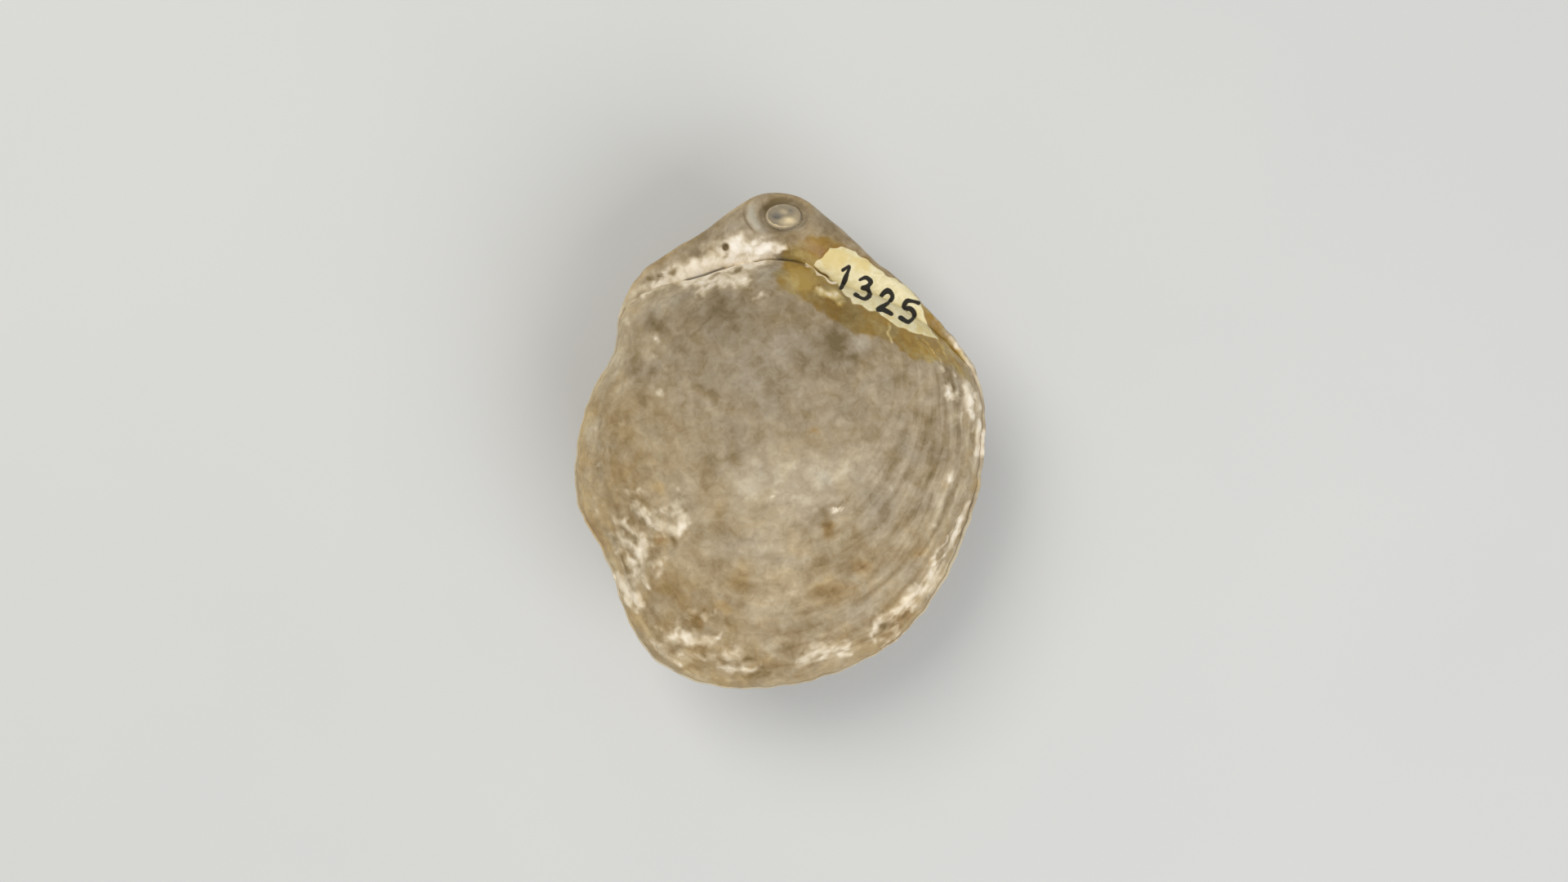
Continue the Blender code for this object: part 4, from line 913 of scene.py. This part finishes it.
def bowl_point(spread, bearing):
    """Point of the bowl at a share of the way from the worn flat to the widest line."""
    edge = outline_points(shell_radius(bearing), bearing) - np.array(REST_CENTRE)
    turn = np.degrees(np.arctan2(edge[..., 1], edge[..., 0]))
    exact, broad = reaches(REST_CENTRE, shell_radius, turn)
    flat = np.array(REST_CENTRE) + outline_points(spread * (broad + (exact - broad) * spread**3), turn)
    climb = np.clip((spread - REST_SHARE) / (1.0 - REST_SHARE), 0.0, 1.0)
    power = BOWL_POWER[0] + BOWL_POWER[1] * np.sin(np.radians(turn))
    widest = widest_height(np.degrees(np.arctan2(flat[..., 1], flat[..., 0])))
    return flat[..., 0], flat[..., 1], widest * (1.0 - np.clip(1.0 - climb**2, 0.0, 1.0) ** power)


def shoulder_point(t, bearing):
    """Point of the shoulder at a share of the way from the widest line over to the seam."""
    outer, inner = shell_radius(bearing), margin_radius(bearing)
    setback = around(MARGIN_SETBACK, bearing)
    beak = nearness(bearing, BEAK_BEARING, SHOULDER_SPREAD)
    low_end = widest_height(bearing)
    end = SEAM_HEIGHT + around(SEAM_WAVE, bearing) - seam_gap(bearing)
    lift_out, lift_in = (lift + by_setback * setback + by_beak * beak
                         for lift, by_setback, by_beak in (SHOULDER_OUT, SHOULDER_IN))
    a, b, c, d = (1 - t) ** 3, 3 * t * (1 - t) ** 2, 3 * t**2 * (1 - t), t**3
    radius = (a + b) * outer + c * (inner + SHOULDER_REACH * setback) + d * inner
    height = a * low_end + b * (low_end + lift_out) + c * (end + lift_in) + d * end
    flat = outline_points(radius, bearing)
    return flat[..., 0], flat[..., 1], height


def valve_point(t, bearing):
    """Point of the whole outer face: bowl for t from 0 to 1, shoulder from 1 to 2."""
    bowl = bowl_point(np.sin(np.clip(t, 0.0, 1.0) * math.pi / 2), bearing)
    shoulder = shoulder_point(np.clip(t - 1.0, 0.0, 1.0), bearing)
    return np.stack([np.where(t <= 1.0, a, b) for a, b in zip(bowl, shoulder)], axis=-1)


def evenly_spread(share, bearing):
    """How far up the profile each net point goes, so that rows are even, and closer on the beak."""
    steps = np.linspace(0.0, 2.0, PROFILE_STEPS + 1)
    bearings = np.arange(0.0, 361.0, 1.0)
    t, b = np.meshgrid(steps, bearings, indexing="ij")
    at = valve_point(t, b)
    length = np.linalg.norm(np.diff(at, axis=0), axis=2)
    shoulder = np.clip((t[1:] - 0.95) / 0.1, 0.0, 1.0)
    length *= 1.0 + BEAK_CLOSENESS * nearness(b[1:], BEAK_BEARING, 20.0) * shoulder
    length = np.concatenate((np.zeros((1, len(bearings))), np.cumsum(length, axis=0)))
    length /= length[-1]
    rows = np.linspace(0.0, 1.0, PROFILE_ROWS + 1)
    table = np.stack([np.interp(rows, length[:, j], steps) for j in range(len(bearings))], axis=1)
    turned = np.mod(bearing, 360.0)
    i = np.clip((share * PROFILE_ROWS).astype(int), 0, PROFILE_ROWS - 1)
    j = np.clip(turned.astype(int), 0, 359)
    p, q = share * PROFILE_ROWS - i, turned - j
    return ((1 - p) * (1 - q) * table[i, j] + p * (1 - q) * table[i + 1, j]
            + (1 - p) * q * table[i, j + 1] + p * q * table[i + 1, j + 1])


def foramen_frame():
    """The foramen's centre, its axis, and the direction on its slant that points up to the beak's tip."""
    lean = math.radians(FORAMEN_TILT)
    axis = np.array((0.0, math.sin(lean), math.cos(lean)))
    return np.array(FORAMEN_CENTRE), axis, np.array((0.0, math.cos(lean), -math.sin(lean)))


def sunk_foramen(points):
    """Press the foramen's funnel and bore into the outer face; also how deep, its colours and its painted
    shade.
    """
    centre, axis, back = foramen_frame()
    offset = points - centre
    height = offset @ axis
    out = np.hypot(offset[:, 0], offset @ back)
    turn = np.degrees(np.arctan2(offset @ back, offset[:, 0]))
    near = height > -1.2
    limit = np.interp(out, *np.transpose(FORAMEN_PROFILE))
    for rise, radius, half_width, towards, spread in RIM_LUMPS:
        limit += rise * ridge(out, radius, half_width) * nearness(turn, towards, spread)
    over = height - limit
    round_off = 0.03 * np.clip((out - FUNNEL_RADIUS) / 0.3, 0.0, 1.0)
    sink = np.where(near, 0.5 * (over + np.sqrt(over**2 + round_off)), 0.0)
    lip = near * ridge(out, 1.95, 0.28)
    recess_shadow_and_dirt = near * np.clip((FUNNEL_RADIUS - out) / 0.15, 0.0, 1.0)
    groove = near * ridge(out, 2.36, 0.09)
    # A pale crescent on the collar's left side: partly its own lavender-white colour, partly a painted
    # highlight
    tone = lip * (2.7 * nearness(turn, 197.0, 40.0) + 0.6 * nearness(turn, 0.0, 40.0) - 0.4)
    # Painted shadow, with some dirt, in the recess round the plug, darkest under the upper left; painted
    # shade in the groove round the collar
    tone -= recess_shadow_and_dirt * (0.05 + 1.10 * nearness(turn, 130.0, 55.0) + 0.45 * nearness(turn, -80.0, 45.0))
    tone -= groove * nearness(turn, 205.0, 50.0)
    warmth = -lip * nearness(turn, 195.0, 60.0) - 0.6 * recess_shadow_and_dirt
    return points - sink[:, None] * axis, sink, tone, warmth


def sunk_pit(points):
    """Press the borer's pit beside the hinge into the outer face."""
    x, y, radius = PIT
    near = np.hypot(points[:, 0] - x, points[:, 1] - y) / radius
    above = points[:, 2] > SEAM_HEIGHT
    sunk = points.copy()
    sunk[:, 2] -= above * PIT_DEPTH * np.clip(1.35 - near, 0.0, 1.0) ** 0.7
    return sunk, above * np.clip(1.5 - near, 0.0, 1.0)


def pedicle_valve():
    """Bowl, shoulders and beak in one face, closed above by the hidden face on the filling."""
    share, bearing, quads, border = disc_net(NET_ROWS)
    t = evenly_spread(share, bearing)
    outer, sink, foramen_tone, foramen_warmth = sunk_foramen(valve_point(t, bearing))
    outer, pit = sunk_pit(outer)
    x, y = outer[:, 0], outer[:, 1]
    bowl = np.clip((1.0 - t) / 0.02, 0.0, 1.0)
    worn = np.clip((share_from(REST_CENTRE, shell_radius, x, y) - REST_SHARE) / WEAR_FADE, 0.0, 1.0) ** 2
    seen = np.clip((t - 0.87 - 0.015 * np.sin(np.radians(7.0 * bearing))) / 0.1, 0.0, 1.0)
    edge = outline_points(margin_radius(bearing[border]), bearing[border])
    points, under, fan = closed_face(outer, border, edge, -VALVE_GAP, SEAM_GROOVE)
    facts = surface_facts(x, y, outer[:, 2], seen)
    facts.update(growth_facts(PEDICLE_UMBO, shell_radius, x, y))
    # A thin pale line along the rim of the shoulders is a painted highlight; the tone is also darker in the
    # borer's pit
    rim = np.clip((t - 0.985) / 0.01, 0.0, 1.0) * ridge(around(MARGIN_SETBACK, bearing), 0.0, 0.6)
    facts["clearness"] *= bowl
    facts["ledge_foot_shade"] *= bowl
    facts["ledge"] *= worn * bowl
    facts["tone"] += foramen_tone - 0.7 * pit + 0.9 * rim
    facts["warmth"] += foramen_warmth - 0.5 * rim
    facts["chalk"] *= 1.0 - pit
    facts["free"] = worn * np.clip((2.0 - t) / 0.06, 0.0, 1.0) * np.clip(1.2 - sink * 2.0, 0.15, 1.0)
    facts = settled(facts, len(points) - len(outer))
    # This face looks down, so the corners of the net and the rings go the other way round
    quads = np.concatenate((quads, under))[:, (0, 3, 2, 1)]
    return mesh_object("pedicle_shell", points, quads, fan[:, (0, 2, 1)], facts)


lower = relieved(pedicle_valve(), relief, shell_finish("pedicle_calcite", 0.05))
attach(lower, "root")
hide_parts("pedicle_valve")

# Foramen fill
# The plug of lime mud that set hard in the hole for the stalk: a small rough dish with a cream
# rim and a grey hollow. It stands free of the bore by a hair's breadth.

FILL_RADIUS = 1.065
FILL_LAP = 0.06             # how far the mud laps over the edge of the hole
FILL_LEVEL = -0.23
FILL_SIDES = 144
# Its hollow and its mound, as x, y, half length, half width and height
FILL_LUMPS = ((-0.42, 0.08, 0.30, 0.28, -0.13), (0.28, -0.30, 0.34, 0.26, 0.10))
# Where it is cream and where it is blue-grey, as x, y, half length, half width and strength
CREAM_SPOTS = ((0.36, -0.42, 0.50, 0.38, 1.0), (0.0, 0.36, 0.32, 0.28, 0.40), (0.75, 0.0, 0.30, 0.35, 0.3))
GREY_SPOTS = ((-0.40, 0.10, 0.34, 0.30, 1.0), (0.38, 0.50, 0.18, 0.18, 0.6))


def foramen_fill():
    """Plug turned on the foramen's axis, dished and uneven on top."""
    top = [((FILL_RADIUS + FILL_LAP) * math.sin(s * math.pi / 2), 1.0) for s in np.linspace(0.0, 1.0, 49)[1:]]
    side = [(FILL_RADIUS * (1.0 - 0.05 * s), 1.0 - s) for s in np.linspace(0.0, 1.0, 19)[1:]]
    floor = -FORAMEN_DEPTH + VALVE_GAP
    radius, level = np.array(top + side).T[..., None]
    turn = np.linspace(0.0, 2 * math.pi, FILL_SIDES, endpoint=False)
    wobble = 1.0 - 0.004 * (1.0 + np.sin(3 * turn + 1.0)) - 0.002 * (1.0 + np.sin(7 * turn))
    across, up = radius * np.cos(turn) * wobble, radius * np.sin(turn) * wobble
    out = radius / FILL_RADIUS + 0.0 * turn

    def spots(rows):
        return [height * ridge(across, x, long) * ridge(up, y, wide) for x, y, long, wide, height in rows]

    lip = ridge(out, 0.92, 0.07) * (0.8 + 0.2 * np.sin(4.0 * turn + 0.6) * np.sin(7.0 * turn))
    dish = FILL_LEVEL + sum(spots(FILL_LUMPS)) - 0.03 * np.clip((out - 1.0) / 0.05, 0.0, 1.0)
    dish += lip * (0.15 - 0.09 * np.clip(np.sin(turn), 0.0, 1.0))
    dish += 0.015 * np.sin(9.0 * across + 2.0) * np.sin(11.0 * up + 1.0) * (out < 0.97)
    height = np.where(level < 1.0, floor + level * (dish[len(top) - 1] - floor), dish)
    centre, axis, back = foramen_frame()
    rim = centre + across[..., None] * (1.0, 0.0, 0.0) + up[..., None] * back + height[..., None] * axis
    points = np.concatenate(([centre + FILL_LEVEL * axis], rim.reshape(-1, 3), [centre + floor * axis]))
    here = 1 + np.arange(len(radius) * FILL_SIDES).reshape(len(radius), FILL_SIDES)
    after = np.roll(here, -1, axis=1)
    quads = np.stack((here[:-1], here[1:], after[1:], after[:-1]), axis=-1).reshape(-1, 4)
    caps = [np.stack((np.zeros(FILL_SIDES, dtype=int), here[0], after[0]), axis=1),
            np.stack((after[-1], here[-1], np.full(FILL_SIDES, len(points) - 1)), axis=1)]
    bearing = np.degrees(turn)
    creamy = np.max([lip * (0.95 * nearness(bearing, 245.0, 80.0) + 0.10), *spots(CREAM_SPOTS)], axis=0)
    covered = 1.0 - 0.10 * nearness(bearing, 70.0, 55.0) - 0.03 * np.sin(3 * turn + 1.0) * np.sin(5 * turn)
    shade = np.where(level < 1.0, 1.0, np.clip((out - covered) / 0.10, 0.0, 1.0))
    facts = {named: np.concatenate(([middle], np.clip(value, 0.0, 1.0).ravel(), [bottom]))
             for named, value, middle, bottom in (("creamy", creamy, 0.0, 0.0),
                                                  ("hollow", np.max(spots(GREY_SPOTS), axis=0), 0.3, 0.0),
                                                  ("shade", shade, 0.0, 1.0))}
    return mesh_object("foramen_plug", points, quads, np.concatenate(caps), facts)


def mud_finish():
    """Hardened lime mud: dry and quite matt, cream on its high parts and blue-grey in the hollow."""
    material = bpy.data.materials.new("hardened_mud")
    material.use_nodes = True
    tree = material.node_tree
    shader = tree.nodes["Principled BSDF"]
    place = add(tree, "ShaderNodeTexCoord", out="Object")
    speckle = add(tree, "ShaderNodeTexNoise", {"Vector": place, "Scale": 1.0 / (0.22 * MM), "Detail": 3.0})
    colour = "#9b8f79"
    for named, most, hex_colour in (("creamy", 1.0, "#ecd9b0"), ("hollow", 0.85, "#6d6c68"),
                                    ("shade", 0.90, "#8f8068")):
        fact = add(tree, "ShaderNodeAttribute", out="Fac", attribute_name=named)
        uneven = ("ADD", fact, ("MULTIPLY_ADD", speckle, 0.5, -0.25))
        amount = add(tree, "ShaderNodeMapRange",
                     {"Value": uneven, "From Min": 0.05, "From Max": 1.0, "To Max": most})
        colour = add(tree, "ShaderNodeMix", {0: amount, 6: colour, 7: hex_colour}, 2, data_type="RGBA")
    tree.links.new(colour, shader.inputs["Base Color"])
    shader.inputs["Roughness"].default_value = 0.85
    shader.inputs["IOR"].default_value = 1.5
    shader.inputs["Specular IOR Level"].default_value = 0.3
    bump = add(tree, "ShaderNodeBump", {"Height": speckle, "Strength": 0.5, "Distance": 0.03 * MM})
    tree.links.new(bump, shader.inputs["Normal"])
    return material


plug = foramen_fill()
plug.data.materials.append(mud_finish())
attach(plug, "root")
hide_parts("foramen_fill")

# Table, light and camera
# A pale matt table under a broad softbox, with a fill from the front. The camera looks straight
# down, and stands so that the fossil has the photo's place and size in the picture.

PHOTO_HEIGHT = 1080.0
PHOTO_LENGTH = 609.0        # the fossil's length in the photo's pixels
PHOTO_OFFSET = -4.5         # its middle's distance right of the photo's middle, in pixels
FOSSIL_LENGTH = 30.0
LENS = 40.0
SENSOR = 36.0


def table():
    """Round sheet of pale board under the fossil."""
    bpy.ops.mesh.primitive_circle_add(vertices=96, radius=1.2, fill_type="NGON", location=(0, 0, 0))
    board = bpy.context.object
    board.name = "table"
    material = bpy.data.materials.new("pale_board")
    material.use_nodes = True
    tree = material.node_tree
    shader = tree.nodes["Principled BSDF"]
    place = add(tree, "ShaderNodeTexCoord", out="Object")
    speck = add(tree, "ShaderNodeTexNoise", {"Vector": place, "Scale": 40.0, "Detail": 3.0})
    tint = add(tree, "ShaderNodeMix", {0: speck, 6: "#d3d5d4", 7: "#d9dad8"}, 2, data_type="RGBA")
    tree.links.new(tint, shader.inputs["Base Color"])
    shader.inputs["Roughness"].default_value = 0.9
    board.data.materials.append(material)


def softbox(name, place, size, watts, colour):
    """Square area light aimed at the fossil."""
    data = bpy.data.lights.new(name, "AREA")
    data.size = size
    data.energy = watts
    data.color = linear(colour)[:3]
    lamp = bpy.data.objects.new(name, data)
    lamp.location = place
    lamp.rotation_euler = (Vector((0.0, 0.0, 0.008)) - Vector(place)).to_track_quat("-Z", "Y").to_euler()
    bpy.context.scene.collection.objects.link(lamp)


def camera():
    """Camera straight above the fossil."""
    millimetres_high = PHOTO_HEIGHT * FOSSIL_LENGTH / PHOTO_LENGTH
    sensor_high = SENSOR * 9 / 16
    data = bpy.data.cameras.new("camera")
    data.lens = LENS
    data.sensor_width = SENSOR
    data.clip_start = 0.001
    data.clip_end = 10.0
    eye = bpy.data.objects.new("camera", data)
    distance = millimetres_high * LENS / sensor_high
    aside = -PHOTO_OFFSET * FOSSIL_LENGTH / PHOTO_LENGTH
    eye.location = (aside * MM, 0.0, (SEAM_HEIGHT + distance) * MM)
    bpy.context.scene.collection.objects.link(eye)
    bpy.context.scene.camera = eye


table()
softbox("key", (-0.12, 0.12, 0.26), 0.18, 0.46, "#fffaf2")
softbox("fill", (0.16, -0.18, 0.22), 0.26, 0.56, "#fdfcff")
world = bpy.data.worlds.new("studio")
bpy.context.scene.world = world
world.use_nodes = True
studio = world.node_tree.nodes["Background"]
studio.inputs["Color"].default_value = linear("#f1f2f3")
studio.inputs["Strength"].default_value = 0.42
bpy.context.scene.view_settings.view_transform = "Standard"
camera()
